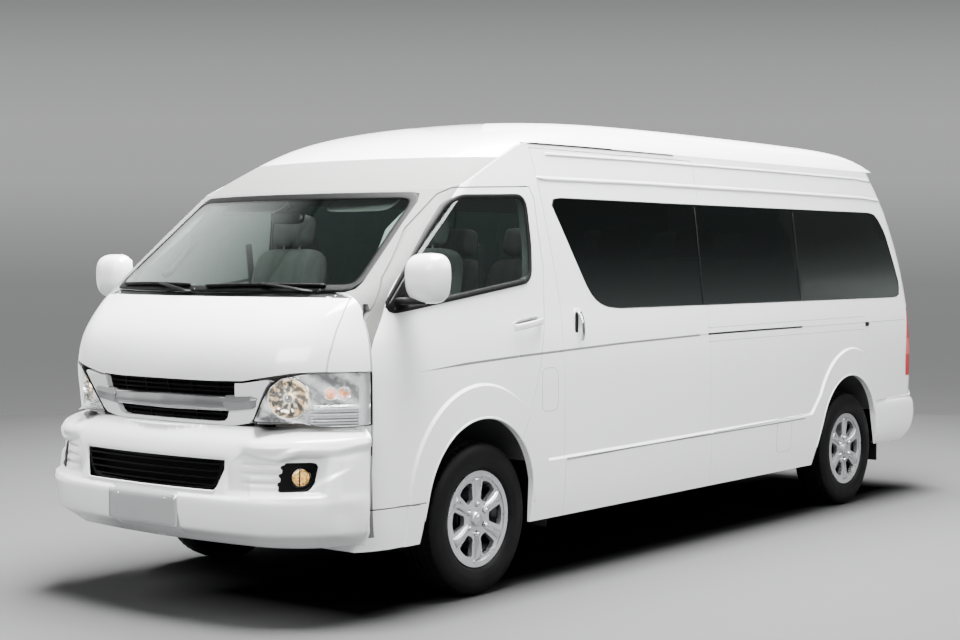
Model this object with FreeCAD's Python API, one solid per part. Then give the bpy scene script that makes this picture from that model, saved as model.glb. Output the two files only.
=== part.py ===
import FreeCAD, Part
import math
import os

V = FreeCAD.Vector

# Long high-roof minibus. X is its left, Y its rear, Z up; the origin is on the ground under its middle.

# Overall sizes
LENGTH = 5990.0
WIDTH = 1880.0
HEIGHT = 2285.0
WHEELBASE = 3720.0
FRONT_OVERHANG = 1220.0
GROUND_TO_SILL = 300.0

# Wheels
TYRE_DIAMETER = 707.0
TYRE_WIDTH = 205.0
RIM_DIAMETER = 441.0
RIM_SEAT_DIAMETER = 406.0
RIM_WIDTH = 176.0
WHEEL_OUTER_FACE = 897.0
RIM_BARREL_WALL = 7.0
SPOKE_COUNT = 6
STUD_CIRCLE = 139.7
STUD_HOLE = 14.0
HUB_BORE = 106.0
DISC_OFFSET = 30.0
DISC_THICKNESS = 18.0

# Body walls and gaps
WALL = 50.0
PANEL = 28.0
GLASS = 6.0
GLASS_SET_BACK = 2.0
BAND_PROUD = 12.0
DOOR_GAP = 5.5
SHUT_LINE = 3.0
FIT = 0.4
LIP = 30.0
FLOOR_TOP = 640.0
FLOOR_THICKNESS = 60.0
ROOF_WALL = 40.0
REAR_CORNER = 120.0
REAR_SWEEP = 6000.0
OVERRUN = 400.0

# Steering
KINGPIN_INSET = 80.0
STEER_LIMIT = 32.0

HALF_WIDTH = WIDTH / 2
REAR_OVERHANG = LENGTH - WHEELBASE - FRONT_OVERHANG
FRONT_AXLE = FRONT_OVERHANG - LENGTH / 2
REAR_AXLE = FRONT_AXLE + WHEELBASE
AXLE_Z = TYRE_DIAMETER / 2
WHEEL_X = WHEEL_OUTER_FACE - TYRE_WIDTH / 2

# Body sections from the sill up: height as a share of HEIGHT, nose as a share of FRONT_OVERHANG,
# half width and corner radius as shares of HALF_WIDTH, nose sweep as a share of WIDTH,
# tail as a share of REAR_OVERHANG
BODY_shares = [
    (0.1313, 0.8197, 0.9574, 1.4362, 0.3617, 0.8571), (0.1751, 0.8361, 0.9723, 1.4362, 0.3617, 0.8952),
    (0.2713, 0.8525, 0.9851, 1.4894, 0.383, 0.9381), (0.3589, 0.873, 0.9883, 1.4894, 0.3936, 0.9476),
    (0.407, 0.8951, 0.9883, 1.5426, 0.4574, 0.9457), (0.4464, 0.9123, 0.9872, 1.5426, 0.4787, 0.9429),
    (0.4814, 0.9098, 0.984, 1.5426, 0.4787, 0.9381), (0.5164, 0.8902, 0.9766, 1.516, 0.4574, 0.9333),
    (0.5427, 0.8607, 0.9691, 1.4362, 0.4362, 0.9257), (0.5689, 0.818, 0.9606, 1.3298, 0.383, 0.9162),
    (0.5886, 0.7787, 0.9553, 1.1702, 0.2979, 0.9095), (0.6061, 0.7377, 0.9511, 1.0638, 0.2128, 0.9),
    (0.6346, 0.6705, 0.9447, 1.0479, 0.1489, 0.8857), (0.7002, 0.5172, 0.9277, 1.0266, 0.1277, 0.8333),
    (0.7659, 0.3639, 0.9096, 1, 0.1223, 0.7667), (0.8162, 0.2459, 0.8936, 0.984, 0.117, 0.7095),
    (0.8753, 0.1074, 0.867, 0.984, 0.117, 0.6286), (0.9212, 0, 0.8436, 0.984, 0.117, 0.5524),
    (0.9628, -0.0984, 0.8245, 0.984, 0.117, 0.4762),
]

FRONT_BUMPER_shares = [
    (0.1444, 0.9344, 0.9362, 1.7021, 0.4043, 0.8571), (0.151, 0.9549, 0.9521, 1.7021, 0.4149, 0.8571),
    (0.1663, 0.9754, 0.9702, 1.8085, 0.4362, 0.8571), (0.1926, 0.9951, 0.9851, 1.8617, 0.4574, 0.8571),
    (0.2188, 1, 0.9915, 1.8989, 0.4681, 0.8571), (0.2328, 1, 0.9936, 1.8989, 0.4681, 0.8571),
    (0.2398, 0.9951, 0.9936, 1.8989, 0.4681, 0.8571), (0.246, 0.9836, 0.9936, 1.8883, 0.4681, 0.8571),
    (0.2538, 0.9795, 0.9936, 1.8617, 0.4681, 0.8571), (0.2888, 0.9811, 0.9936, 1.8617, 0.4681, 0.8571),
    (0.3151, 0.9754, 0.9926, 1.8617, 0.4681, 0.8571), (0.337, 0.9639, 0.9904, 1.8085, 0.4681, 0.8571),
    (0.3501, 0.9426, 0.9862, 1.7553, 0.4681, 0.8571), (0.3597, 0.9139, 0.9766, 1.7021, 0.4681, 0.8571),
    (0.3632, 0.8852, 0.9628, 1.6489, 0.4681, 0.8571),
]

REAR_BUMPER_shares = [
    (0.154, 0.8197, 0.9574, 1.4362, 0.3617, 0.8857), (0.1641, 0.8197, 0.9734, 1.4362, 0.3617, 0.9238),
    (0.1838, 0.8197, 0.9915, 1.4362, 0.3617, 0.9714), (0.2188, 0.8197, 0.9979, 1.4362, 0.3617, 1),
    (0.2495, 0.8197, 0.9979, 1.4362, 0.3617, 0.9981), (0.267, 0.8197, 0.9957, 1.4362, 0.3617, 0.9857),
    (0.2766, 0.8197, 0.9894, 1.4362, 0.3617, 0.9619), (0.2801, 0.8197, 0.9787, 1.4362, 0.3617, 0.9429),
]

# Gutter line between body and roof cap, from the windscreen back: shares of WHEELBASE behind the
# front axle and of HEIGHT
GUTTER_shares = [
    (-0.0538, 0.8131), (-0.0374, 0.8149), (-0.0134, 0.8245), (0.0113, 0.8411), (0.0403, 0.863),
    (0.0753, 0.8884), (0.1075, 0.9094), (0.1288, 0.9182), (0.1559, 0.9217),
]
GUTTER_END_share = 0.9247

# Roof cap ribs: gutter end behind the front axle, bow ahead of it at the centre line, both as shares
# of WHEELBASE, height of the centre line and of the gutter end as shares of HEIGHT
ROOF_shares = [
    (-0.018, 0.0734, 0.801, 0.801), (0.0054, 0.0672, 0.8315, 0.8293), (0.0323, 0.0591, 0.8613, 0.8468),
    (0.0672, 0.0484, 0.8972, 0.8709), (0.1129, 0.0349, 0.9344, 0.9015), (0.1667, 0.0215, 0.9628, 0.9116),
    (0.2285, 0.0108, 0.9825, 0.9125), (0.3226, 0.0054, 0.9943, 0.9125), (0.4839, 0, 1.0003, 0.9129),
    (0.7527, 0, 1.0009, 0.9134), (0.9677, 0, 0.9987, 0.9138), (1.0753, 0, 0.9943, 0.9142),
    (1.129, -0.0081, 0.9825, 0.9142), (1.1559, -0.0108, 0.9606, 0.9142), (1.1613, -0.0134, 0.9147, 0.9125)]
# One rib from its gutter end to the centre line: share of its half width, of its rise and of its bow
RIB_shares = [(1.0, 0.0, 0.0), (0.985, 0.12, 0.12), (0.95, 0.34, 0.30), (0.87, 0.62, 0.42),
              (0.76, 0.82, 0.55), (0.55, 0.92, 0.76), (0.28, 0.98, 0.94), (0.0, 1.0, 1.0)]

# Side outlines: shares of WHEELBASE behind the front axle and of HEIGHT
FRONT_DOOR_shares = [
    (-0.2003, 0.2109), (-0.2003, 0.5602), (-0.1855, 0.5886), (-0.164, 0.6368), (-0.1005, 0.7317),
    (-0.043, 0.8031), (-0.0269, 0.8149), (0.1188, 0.8245), (0.1269, 0.8009), (0.128, 0.7435),
    (0.1333, 0.656), (0.1263, 0.547), (0.1207, 0.5085), (0.111, 0.4512), (0.1019, 0.407),
    (0.0898, 0.3672), (0.0815, 0.3444), (0.0699, 0.3063), (-0.0806, 0.2626), (-0.0968, 0.2109),
]
DOOR_WINDOW_shares = [
    (-0.1742, 0.5842), (-0.164, 0.5768), (-0.129, 0.5829), (-0.0395, 0.6009), (0.0954, 0.6284),
    (0.1054, 0.6389), (0.1097, 0.7002), (0.1081, 0.7921), (0.0995, 0.8044), (-0.0215, 0.7974),
    (-0.0473, 0.7834), (-0.0876, 0.7265), (-0.1462, 0.6346),
]
SLIDE_DOOR_shares = [
    (0.1672, 0.1225), (0.1661, 0.3768), (0.1645, 0.4932), (0.1651, 0.5794), (0.157, 0.6726),
    (0.1478, 0.7567), (0.136, 0.8823), (0.1333, 0.9081), (0.5336, 0.9094), (0.5336, 0.5252),
    (0.5349, 0.2713), (0.5376, 0.1225),
]
SIDE_BAND_shares = [
    (0.1645, 0.7877), (0.1688, 0.8018), (0.1774, 0.8044), (0.5376, 0.8044), (1.1022, 0.8061),
    (1.1277, 0.8018), (1.1376, 0.7877), (1.1586, 0.7527), (1.1855, 0.6591), (1.2011, 0.5952),
    (1.1989, 0.5742), (1.1828, 0.5672), (0.6919, 0.5663), (0.3011, 0.5667), (0.2688, 0.5711),
    (0.2473, 0.5856), (0.2325, 0.6079), (0.2218, 0.6359), (0.1978, 0.7002), (0.1742, 0.7659),
]
PANE_SPLIT_shares = [0.5215, 0.8226]

# Wheel arches: half chord ahead and behind, as shares of WHEELBASE, and heights as shares of HEIGHT
FRONT_ARCH_shares = [
    (-0.1231, 0.1094), (-0.1097, 0.2188), (-0.0027, 0.3597), (0.0973, 0.2188), (0.0941, 0.1094),
]
REAR_ARCH_shares = [
    (0.8548, 0.1094), (0.8919, 0.2451), (0.9919, 0.3602), (1.0847, 0.2451), (1.1062, 0.1094),
]
# Raised band over the arches and along the sill, with the way its edge leans out
BAND_shares = [
    (-0.1384, 0.1094, -1, 0), (-0.1384, 0.2276, -1, 0.1), (-0.0081, 0.4236, 0, 1),
    (0.1102, 0.2888, 0.8, 0.6), (0.129, 0.2512, 0.3, 0.95), (0.8522, 0.2639, -0.3, 0.95),
    (0.8831, 0.3151, -0.8, 0.6), (0.9866, 0.4293, 0, 1), (1.1022, 0.3239, 0.8, 0.6),
    (1.1263, 0.2748, 0.3, 0.95), (1.3978, 0.2792, 0, 1), (1.3978, 0.1094, 0, -1),
]

# Front outlines: shares of HALF_WIDTH and of HEIGHT
WINDSCREEN_shares = [
    (0, 0.6092), (0.5319, 0.6101), (0.7872, 0.6118), (0.8255, 0.6179), (0.8319, 0.6302),
    (0.8106, 0.6827), (0.7851, 0.7396), (0.7681, 0.7877), (0.7447, 0.8044), (0.7021, 0.8079),
    (0, 0.8079),
]
BONNET_shares = [
    (0, 0.4473), (0.3191, 0.4473), (0.4894, 0.449), (0.617, 0.4578), (0.7447, 0.4665),
    (0.8532, 0.4691), (0.8574, 0.5164), (0.8489, 0.5689), (0.8362, 0.6013), (0.6383, 0.6022),
    (0, 0.6022),
]
TAILGATE_shares = [
    (0, 0.2897), (0.766, 0.2897), (0.8032, 0.3063), (0.8138, 0.4376), (0.8106, 0.5602),
    (0.7819, 0.7002), (0.734, 0.8403), (0.6968, 0.8753), (0.6383, 0.8884), (0, 0.8884),
]
REAR_WINDOW_shares = [
    (0, 0.5689), (0.6596, 0.5689), (0.7106, 0.5821), (0.7149, 0.6127), (0.6894, 0.709),
    (0.6574, 0.7965), (0.617, 0.814), (0, 0.814),
]


# Nose: the firewall stands behind the bay, the bay is open under the bonnet
FIREWALL_FRONT_share = 0.8475
FIREWALL = 40.0
COWL_TOP_share = 0.5821
BAY_TOP_share = 0.5690
NOSE_CUT_share = 0.8385
NOSE_CUT_TOP_share = 0.4683

GRILLE_PANEL_shares = [
    (0, 0.3637), (0.4043, 0.3637), (0.4915, 0.3698), (0.5191, 0.3786), (0.5798, 0.4179),
    (0.6117, 0.4376), (0.6362, 0.449), (0.617, 0.4525), (0.4894, 0.4446), (0.3191, 0.4429),
    (0, 0.4429),
]
UPPER_OPENING_shares = [
    (0, 0.4166), (0.4383, 0.4166), (0.4638, 0.4814), (0, 0.4814),
]
LOWER_OPENING_shares = [
    (0, 0.3702), (0.3191, 0.3702), (0.3564, 0.372), (0.3745, 0.3772), (0.3915, 0.3912), (0, 0.3895),
]
BAR_shares = [
    (0, 0.393), (0.4309, 0.3939), (0.5319, 0.4004), (0.5702, 0.4061), (0.5819, 0.4245),
    (0.5745, 0.4258), (0.4574, 0.4193), (0, 0.4158),
]
BAR_PROUD = 16.0
BAR_DEPTH = 26.0
SLAT = 7.0
SLAT_DEPTH = 22.0
SLAT_PITCH = 20.0
UPRIGHT_PITCH = 150.0

# Lamp outline in a plane turned 45 degrees out: distance along it as a share of HALF_WIDTH
LAMP_shares = [
    (-0.416, 0.3729), (-0.3957, 0.3939), (-0.3702, 0.4193), (-0.3431, 0.4389), (-0.2904, 0.4569),
    (-0.2016, 0.4648), (-0.0745, 0.467), (0.1596, 0.4687), (0.1596, 0.3698), (0.0319, 0.3667),
    (-0.0532, 0.3659), (-0.1383, 0.3676), (-0.1809, 0.3711), (-0.2106, 0.3729),
]
LAMP_REAR_share = 1.10
LAMP_PROUD = 2.0

# Front bumper
BUMPER_WALL = 45.0
LOWER_GRILLE_shares = [
    (0, 0.2451), (0.3511, 0.2477), (0.4096, 0.253), (0.4415, 0.2648), (0.4723, 0.302),
    (0.4574, 0.3081), (0.4043, 0.3098), (0, 0.3063),
]
FOG_shares = [
    (0.6968, 0.302), (0.883, 0.3037), (0.8989, 0.2993), (0.883, 0.2626), (0.8511, 0.256),
    (0.6809, 0.2516),
]
FOG_LAMP_X_share = 0.795
FOG_LAMP_Z_share = 0.2797
FOG_LAMP_DIAMETER = 92.0
PLATE_HALF_WIDTH = 220.0
PLATE_BOTTOM = 408.0
PLATE_HEIGHT = 134.0
PLATE_RECESS = 4.0

# Tail lamps
TAIL_LAMP_shares = [
    (1.2097, 0.3392), (1.2097, 0.3939), (1.2191, 0.5374), (1.3172, 0.5374), (1.3172, 0.3392),
]
TAIL_LAMP_REACH = 148.0
TAIL_LAMP_DEPTH = 60.0

# Mirrors
MIRROR_Y_share = -0.1647
MIRROR_Z_share = 0.636
MIRROR_HEIGHT = 225.0
MIRROR_REACH = 165.0
MIRROR_DEPTH = 120.0
MIRROR_INSET = 5.0
MIRROR_ROUND = 45.0
MIRROR_FOOT = 70.0

# Cabin
SEAT_WIDTH = 490.0
SEAT_LENGTH = 470.0
SEAT_CUSHION = 130.0
SEAT_TOP = 1085.0
SEAT_BACK_HEIGHT = 520.0
SEAT_BACK_THICKNESS = 110.0
SEAT_RAKE = 14.0
HEADREST_HEIGHT = 180.0
HEADREST_WIDTH = 250.0
SEAT_ROUND = 40.0
FRONT_SEAT_X = 440.0
FRONT_SEAT_Y_share = -0.047
REAR_SEAT_TOP = 1036.0
REAR_ROW_COUNT = 4
REAR_ROW_FIRST_share = 0.285
REAR_ROW_PITCH = 780.0
REAR_SEAT_WIDTH = 430.0
AISLE_SEAT_X = 560.0
PAIR_INNER_X = 150.0
DASH_DEPTH = 330.0
DASH_HEIGHT = 380.0
STEERING_WHEEL_DIAMETER = 385.0
STEERING_RIM = 28.0
STEERING_TILT = 42.0

# Running gear
AXLE_TUBE = 96.0
DIFF_DIAMETER = 290.0
DIFF_WIDTH = 240.0
SPRING_LENGTH = 1250.0
SPRING_WIDTH = 65.0
SPRING_THICKNESS = 42.0
SPRING_X = 560.0
BRAKE_DRUM = 300.0
BRAKE_WIDTH = 70.0
KNUCKLE_HEIGHT = 260.0
KNUCKLE_THICKNESS = 60.0
STUB_DIAMETER = 60.0
DISC_BRAKE = 290.0
BEAM_SECTION = 90.0
BEAM_TOP = 330.0
ARM_THICKNESS = 40.0
RAIL_X = 420.0
RAIL_WIDTH = 70.0
RAIL_HEIGHT = 120.0
ENGINE_WIDTH = 520.0
ENGINE_LENGTH = 720.0
ENGINE_HEIGHT = 440.0
ENGINE_BOTTOM = 330.0
TANK_WIDTH = 420.0
TANK_LENGTH = 900.0
TANK_HEIGHT = 230.0
EXHAUST_DIAMETER = 60.0
SILENCER_DIAMETER = 170.0
SILENCER_LENGTH = 620.0
SHAFT_DIAMETER = 76.0
FLAP_WIDTH = 250.0
FLAP_HEIGHT = 330.0
FLAP_THICKNESS = 8.0
WELL_CLEARANCE = 70.0
WELL_INNER_X = 480.0
WELL_WALL = 10.0

# Smaller sizes of the pieces above
LOWER_SLAT_COUNT = 4
FOG_SET_BACK = 12.0
MIRROR_ROOT = 140.0
HUMP_MARGIN = 30.0
DASH_LIP = 45.0
STEERING_REACH = 120.0
STEERING_DROP = 60.0
STEERING_SPOKES = 3
FLOOR_REAR_share = 0.885
ENGINE_AHEAD = 330.0
NOSE_RAIL_share = 0.79
RAIL_END_share = 0.80
CROSS_MEMBER_shares = [0.30, 0.52, 0.74, 1.10]
BEAM_DROP = 60.0
SPRING_CAMBER = 70.0
RIM_CROWN = 9.0
WINDOW_BULGE = 6.0
WINDOW_ROUND = 9.0
TANK_share = 0.36
MUDFLAP_share = 0.115
MUDFLAP_BOTTOM = 240.0
RADIATOR_HALF_WIDTH = 380.0
RADIATOR_AHEAD = 175.0
RADIATOR_BOTTOM = 380.0
RADIATOR_TOP = 780.0
REAR_BUMPER_share = 0.31
BONNET_HINGE_share = 0.8

# Tyre profile from bead to bead: shares of TYRE_WIDTH and of the tyre's height over the rim
TYRE_PROFILE_shares = [(-0.385, 0), (-0.385, 0.125), (-0.46, 0.2), (-0.5, 0.45), (-0.48, 0.72), (-0.42, 0.92),
                       (-0.34, 0.985), (-0.15, 1.0), (0.15, 1.0), (0.34, 0.985), (0.42, 0.92), (0.48, 0.72),
                       (0.5, 0.45), (0.46, 0.2), (0.385, 0.125), (0.385, 0), (0.33, 0), (0.40, 0.45),
                       (0.34, 0.84), (-0.34, 0.84), (-0.40, 0.45), (-0.33, 0)]
RIM_DROP_share = 0.88
WINDOW_INNER_share = 0.47
WINDOW_OUTER_share = 0.86
WINDOW_ANGLE = 17.0
WINDOW_ROOT_ANGLE = 13.0

# Hinges: pins stand on the body, and the panels turn on them with RUN between
RUN = 0.3
DOOR_AXIS_INSET = 60.0
DOOR_AXIS_BACK = 30.0
DOOR_PIN_DIAMETER = 16.0
DOOR_PIN_END = 22.0
DOOR_HINGE_SKIN = 4.0
DOOR_HINGE_HEIGHT = 30.0
DOOR_HINGE_LEVEL_shares = [0.313, 0.4025]
DOOR_POCKET_RADIUS = 50.0
HINGE_ARM = 12.0
HINGE_REACH = 33.0
BONNET_AXIS_Y_share = 0.8032
BONNET_AXIS_Z_share = 0.60394
BONNET_HINGE_X_share = 0.74
BONNET_PIN_DIAMETER = 7.0
BONNET_KNUCKLE_DIAMETER = 14.0
BONNET_LUG = 45.0
BONNET_FLANGE = 12.0
BONNET_FLANGE_HEIGHT = 40.0
GATE_AXIS_Y_share = 0.6125
GATE_AXIS_Z_share = 0.8928
GATE_HINGE_X_share = 0.45
GATE_PIN_DIAMETER = 10.0
GATE_KNUCKLE_DIAMETER = 22.0
GATE_KNUCKLE_WIDTH = 28.0
GATE_BRACKET_DROP = 38.0


def mirrored(shape):
    return shape.mirror(V(0, 0, 0), V(1, 0, 0))


def box(x0, x1, y0, y1, z0, z1):
    low, high = min(x0, x1), max(x0, x1)
    return Part.makeBox(high - low, y1 - y0, z1 - z0, V(low, y0, z0))


def centred_box(half, y0, y1, z0, z1):
    return box(-half, half, y0, y1, z0, z1)


def rod(start, end, radius):
    return Part.makeCylinder(radius, (end - start).Length, start, end - start)


def fused(shapes):
    whole = shapes[0]
    for shape in shapes[1:]:
        whole = whole.fuse(shape)
    return whole.removeSplitter()


def side_points(shares):
    """Turns shares of the wheelbase and the height into (y, z)."""
    return [(FRONT_AXLE + row[0] * WHEELBASE, row[1] * HEIGHT) for row in shares]


def front_points(shares):
    """Turns shares of the half width and the height into (x, z)."""
    return [(row[0] * HALF_WIDTH, row[1] * HEIGHT) for row in shares]


def grown(points, margin):
    """Moves a closed outline outwards by a margin, corner by corner."""
    area = sum(a[0] * b[1] - b[0] * a[1] for a, b in zip(points, points[1:] + points[:1]))
    turn = 1 if area > 0 else -1
    moved = []
    count = len(points)
    for i, (a, b) in enumerate(points):
        before, after = points[i - 1], points[(i + 1) % count]
        u = (a - before[0], b - before[1])
        v = (after[0] - a, after[1] - b)
        lu, lv = math.hypot(*u), math.hypot(*v)
        n1 = (u[1] / lu * turn, -u[0] / lu * turn)
        n2 = (v[1] / lv * turn, -v[0] / lv * turn)
        scale = margin / (1 + n1[0] * n2[0] + n1[1] * n2[1])
        moved.append((a + (n1[0] + n2[0]) * scale, b + (n1[1] + n2[1]) * scale))
    return moved


def side_prism(points, x0, x1):
    corners = [V(x0, y, z) for y, z in points]
    return Part.Face(Part.makePolygon(corners + corners[:1])).extrude(V(x1 - x0, 0, 0))


def front_prism(points, y0, y1, full=True):
    """A prism along Y; a half outline that starts and ends on the centre line is completed."""
    if full:
        points = points + [(-x, z) for x, z in reversed(points) if x > 0]
    corners = [V(x, y0, z) for x, z in points]
    return Part.Face(Part.makePolygon(corners + corners[:1])).extrude(V(0, y1 - y0, 0))


def arc_strip(cx, cy, radius, a0, a1):
    """Poles of an arc in plan, its angles taken from the forward direction."""
    reach = 4 / 3 * math.tan((a1 - a0) / 4) * radius
    start = (cx + radius * math.sin(a0), cy - radius * math.cos(a0))
    end = (cx + radius * math.sin(a1), cy - radius * math.cos(a1))
    return [start, (start[0] + reach * math.cos(a0), start[1] + reach * math.sin(a0)),
            (end[0] - reach * math.cos(a1), end[1] - reach * math.sin(a1)), end]


def section_strips(row, inset):
    """The eight strips of poles round one level section of the body, drawn in by an inset."""
    z = row[0] * HEIGHT
    nose = row[1] * FRONT_OVERHANG - inset
    half = row[2] * HALF_WIDTH - inset
    sweep = row[3] * WIDTH - inset
    corner = max(row[4] * HALF_WIDTH - inset, FIT)
    tail = row[5] * REAR_OVERHANG - inset
    rear_corner = max(REAR_CORNER - inset, FIT)
    rear_sweep = REAR_SWEEP - inset
    cy = FRONT_AXLE - nose + sweep
    px = half - corner
    turn = math.asin(px / (sweep - corner))
    py = cy - math.sqrt((sweep - corner) ** 2 - px ** 2)
    ry = REAR_AXLE + tail - rear_sweep
    qx = half - rear_corner
    lean = math.asin(qx / (rear_sweep - rear_corner))
    qy = ry + math.sqrt((rear_sweep - rear_corner) ** 2 - qx ** 2)
    quarter = math.pi / 2
    strips = [arc_strip(0, cy, sweep, -turn, turn), arc_strip(px, py, corner, turn, quarter),
              [(half, py), (half, qy)], arc_strip(qx, qy, rear_corner, quarter, math.pi - lean),
              arc_strip(0, ry, rear_sweep, math.pi - lean, math.pi + lean)]
    for strip in (strips[1], strips[2], strips[3]):
        strips.append([(-x, y) for x, y in strip])
    return [[V(x, y, z) for x, y in strip] for strip in strips]


def spline_face(poles):
    """A smooth patch whose poles run across in one span and up the sections."""
    across, up = len(poles), len(poles[0])
    patch = Part.BSplineSurface()
    patch.buildFromPolesMultsKnots(poles, [across, across], [4] + [1] * (up - 4) + [4], [0, 1],
                                   list(range(up - 2)), False, False, across - 1, 3)
    return patch.toShape()


def sectioned_solid(shares, inset):
    """A closed solid through level sections, with flat ends."""
    rows = [section_strips(row, inset) for row in shares]
    faces = []
    for k in range(len(rows[0])):
        faces.append(spline_face([[row[k][i] for row in rows] for i in range(len(rows[0][k]))]))
    for level in (shares[0][0] * HEIGHT, shares[-1][0] * HEIGHT):
        rim = [e for face in faces for e in face.Edges
               if abs(e.BoundBox.ZMin - level) < FIT and e.BoundBox.ZLength < FIT]
        faces.append(Part.Face(Part.Wire(Part.__sortEdges__(rim))))
    shell = Part.makeShell(faces)
    shell.sewShape()
    solid = Part.Solid(shell)
    if solid.Volume < 0:
        solid.reverse()
    return solid


def above_gutter():
    """Everything above the gutter line, as a prism across the body."""
    points = side_points(GUTTER_shares)
    rear = FRONT_AXLE + WHEELBASE * 2
    front = FRONT_AXLE - FRONT_OVERHANG - OVERRUN
    high = HEIGHT + OVERRUN
    curve = Part.BSplineCurve()
    curve.interpolate([V(-WIDTH, y, z) for y, z in points])
    first, last = V(-WIDTH, *points[0]), V(-WIDTH, *points[-1])
    end = V(-WIDTH, rear, GUTTER_END_share * HEIGHT)
    corners = [end, V(-WIDTH, rear, high), V(-WIDTH, front, high), V(-WIDTH, front, first.z), first]
    edges = [curve.toShape(), Part.makeLine(last, end)]
    for a, b in zip(corners, corners[1:]):
        edges.append(Part.makeLine(a, b))
    return Part.Face(Part.Wire(edges)).extrude(V(WIDTH * 2, 0, 0))


def roof_dome(inset):
    """The cap's skin as a closed solid: ribs from gutter to gutter, carried straight down."""
    poles = []
    across = RIB_shares + RIB_shares[-2::-1]
    middle = (FRONT_AXLE + REAR_AXLE + REAR_OVERHANG) / 2
    shrink = 1 - inset / (LENGTH / 2)
    for i, (width_share, rise_share, bow_share) in enumerate(across):
        side = 1 if i < len(RIB_shares) else -1
        line = []
        for end_share, bow, centre, gutter in ROOF_shares:
            low = gutter * HEIGHT
            half = body_half_width(low) + FIT - inset
            y = FRONT_AXLE + (end_share - bow * bow_share) * WHEELBASE
            z = low + (centre * HEIGHT - low) * rise_share - inset
            line.append(V(side * half * width_share, middle + (y - middle) * shrink, z))
        poles.append(line)
    nu, nv = len(poles), len(poles[0])
    skin = Part.BSplineSurface()
    skin.buildFromPolesMultsKnots(poles, [4] + [1] * (nu - 4) + [4], [4] + [1] * (nv - 4) + [4],
                                  list(range(nu - 2)), list(range(nv - 2)), False, False, 3, 3)
    solid = skin.toShape().extrude(V(0, 0, -OVERRUN * 2))
    if solid.Volume < 0:
        solid.reverse()
    return solid


def body_half_width(z):
    """Half width of the body at a height, straight between the sections."""
    for low, high in zip(BODY_shares, BODY_shares[1:]):
        if low[0] * HEIGHT <= z <= high[0] * HEIGHT:
            part = (z / HEIGHT - low[0]) / (high[0] - low[0])
            return (low[2] + (high[2] - low[2]) * part) * HALF_WIDTH
    return BODY_shares[-1][2] * HALF_WIDTH


def arch_wire(shares, margin, x):
    """An arch outline: legs down from an arc over the wheel, grown by a margin."""
    (a, b, c, d, e) = side_points(shares)
    a, b = (a[0] - margin, a[1]), (b[0] - margin, b[1])
    d, e = (d[0] + margin, d[1]), (e[0] + margin, e[1])
    c = (c[0], c[1] + margin)
    edges = [Part.makeLine(V(x, *a), V(x, *b)), Part.Arc(V(x, *b), V(x, *c), V(x, *d)).toShape(),
             Part.makeLine(V(x, *d), V(x, *e)), Part.makeLine(V(x, *e), V(x, *a))]
    return Part.Wire(edges)


def arch_cut(shares, margin, x0, x1):
    return Part.Face(arch_wire(shares, margin, x0)).extrude(V(x1 - x0, 0, 0))


def band_wire(spread, x):
    """Outline of the raised band at one depth, spread out by an amount."""
    p = [V(x, FRONT_AXLE + r[0] * WHEELBASE + r[2] * spread, r[1] * HEIGHT + r[3] * spread)
         for r in BAND_shares]
    line = Part.makeLine
    edges = [line(p[0], p[1]), Part.Arc(p[1], p[2], p[3]).toShape(), line(p[3], p[4]), line(p[4], p[5]),
             line(p[5], p[6]), Part.Arc(p[6], p[7], p[8]).toShape(), line(p[8], p[9]), line(p[9], p[10]),
             line(p[10], p[11]), line(p[11], p[0])]
    return Part.Wire(edges)


def raised_band():
    """The wheel-arch flares and sill band of the left side, with a sloped edge."""
    reach = BAND_PROUD * 5
    outer = band_wire(-BAND_PROUD, HALF_WIDTH + BAND_PROUD)
    inner = band_wire(reach - BAND_PROUD, HALF_WIDTH + BAND_PROUD - reach)
    slope = Part.makeLoft([outer, inner], True, True)
    proud = sectioned_solid(BODY_shares, -BAND_PROUD)
    low = box(0, WIDTH, -LENGTH, LENGTH, 0, HEIGHT / 2)
    return proud.common(slope).common(low)


def beyond(y, rear=True):
    """Everything behind a plane, or before it."""
    far = LENGTH
    return box(-WIDTH, WIDTH, y, y + far, -far, far) if rear else box(-WIDTH, WIDTH, y - far, y, -far, far)


def cab_outline(margin):
    """Side outline of the cabin space: behind the firewall and above the cowl."""
    firewall = FRONT_AXLE - FIREWALL_FRONT_share * HALF_WIDTH + FIREWALL + margin
    cowl = COWL_TOP_share * HEIGHT + margin
    front, rear = -LENGTH, LENGTH
    return [(firewall, -HEIGHT), (firewall, cowl), (front, cowl), (front, HEIGHT * 2),
            (rear, HEIGHT * 2), (rear, -HEIGHT)]


def bay_outline():
    wall = FRONT_AXLE - FIREWALL_FRONT_share * HALF_WIDTH
    return [(wall, 0), (wall, BAY_TOP_share * HEIGHT), (-LENGTH, BAY_TOP_share * HEIGHT), (-LENGTH, 0)]


def nose_rear():
    """Where the bumper and the lamps end at the wings."""
    return FRONT_AXLE - NOSE_CUT_share * HALF_WIDTH


def nose_outline():
    """What the lamps, grille and bumper take the place of."""
    rear = nose_rear()
    top = NOSE_CUT_TOP_share * HEIGHT + FIT
    return [(rear, 0), (rear, top), (-LENGTH, top), (-LENGTH, 0)]


def window_prisms(margin):
    """The side band of the left side as one outline, grown by a margin."""
    return side_prism(grown(side_points(SIDE_BAND_shares), margin), 0, WIDTH)


def arch_space(shares, margin):
    """What the wheel and its well need: the opening in the skin and the wider well inside it."""
    lip = HALF_WIDTH - BAND_PROUD - LIP + margin
    well = arch_cut(shares, WELL_CLEARANCE + margin, WELL_INNER_X - margin, lip)
    return arch_cut(shares, margin, 0, WIDTH), well


def door_axis(z):
    """A point on the left door's hinge axis."""
    front = FRONT_AXLE + FRONT_DOOR_shares[0][0] * WHEELBASE
    return V(HALF_WIDTH - DOOR_AXIS_INSET, front + DOOR_AXIS_BACK, z)


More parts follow.
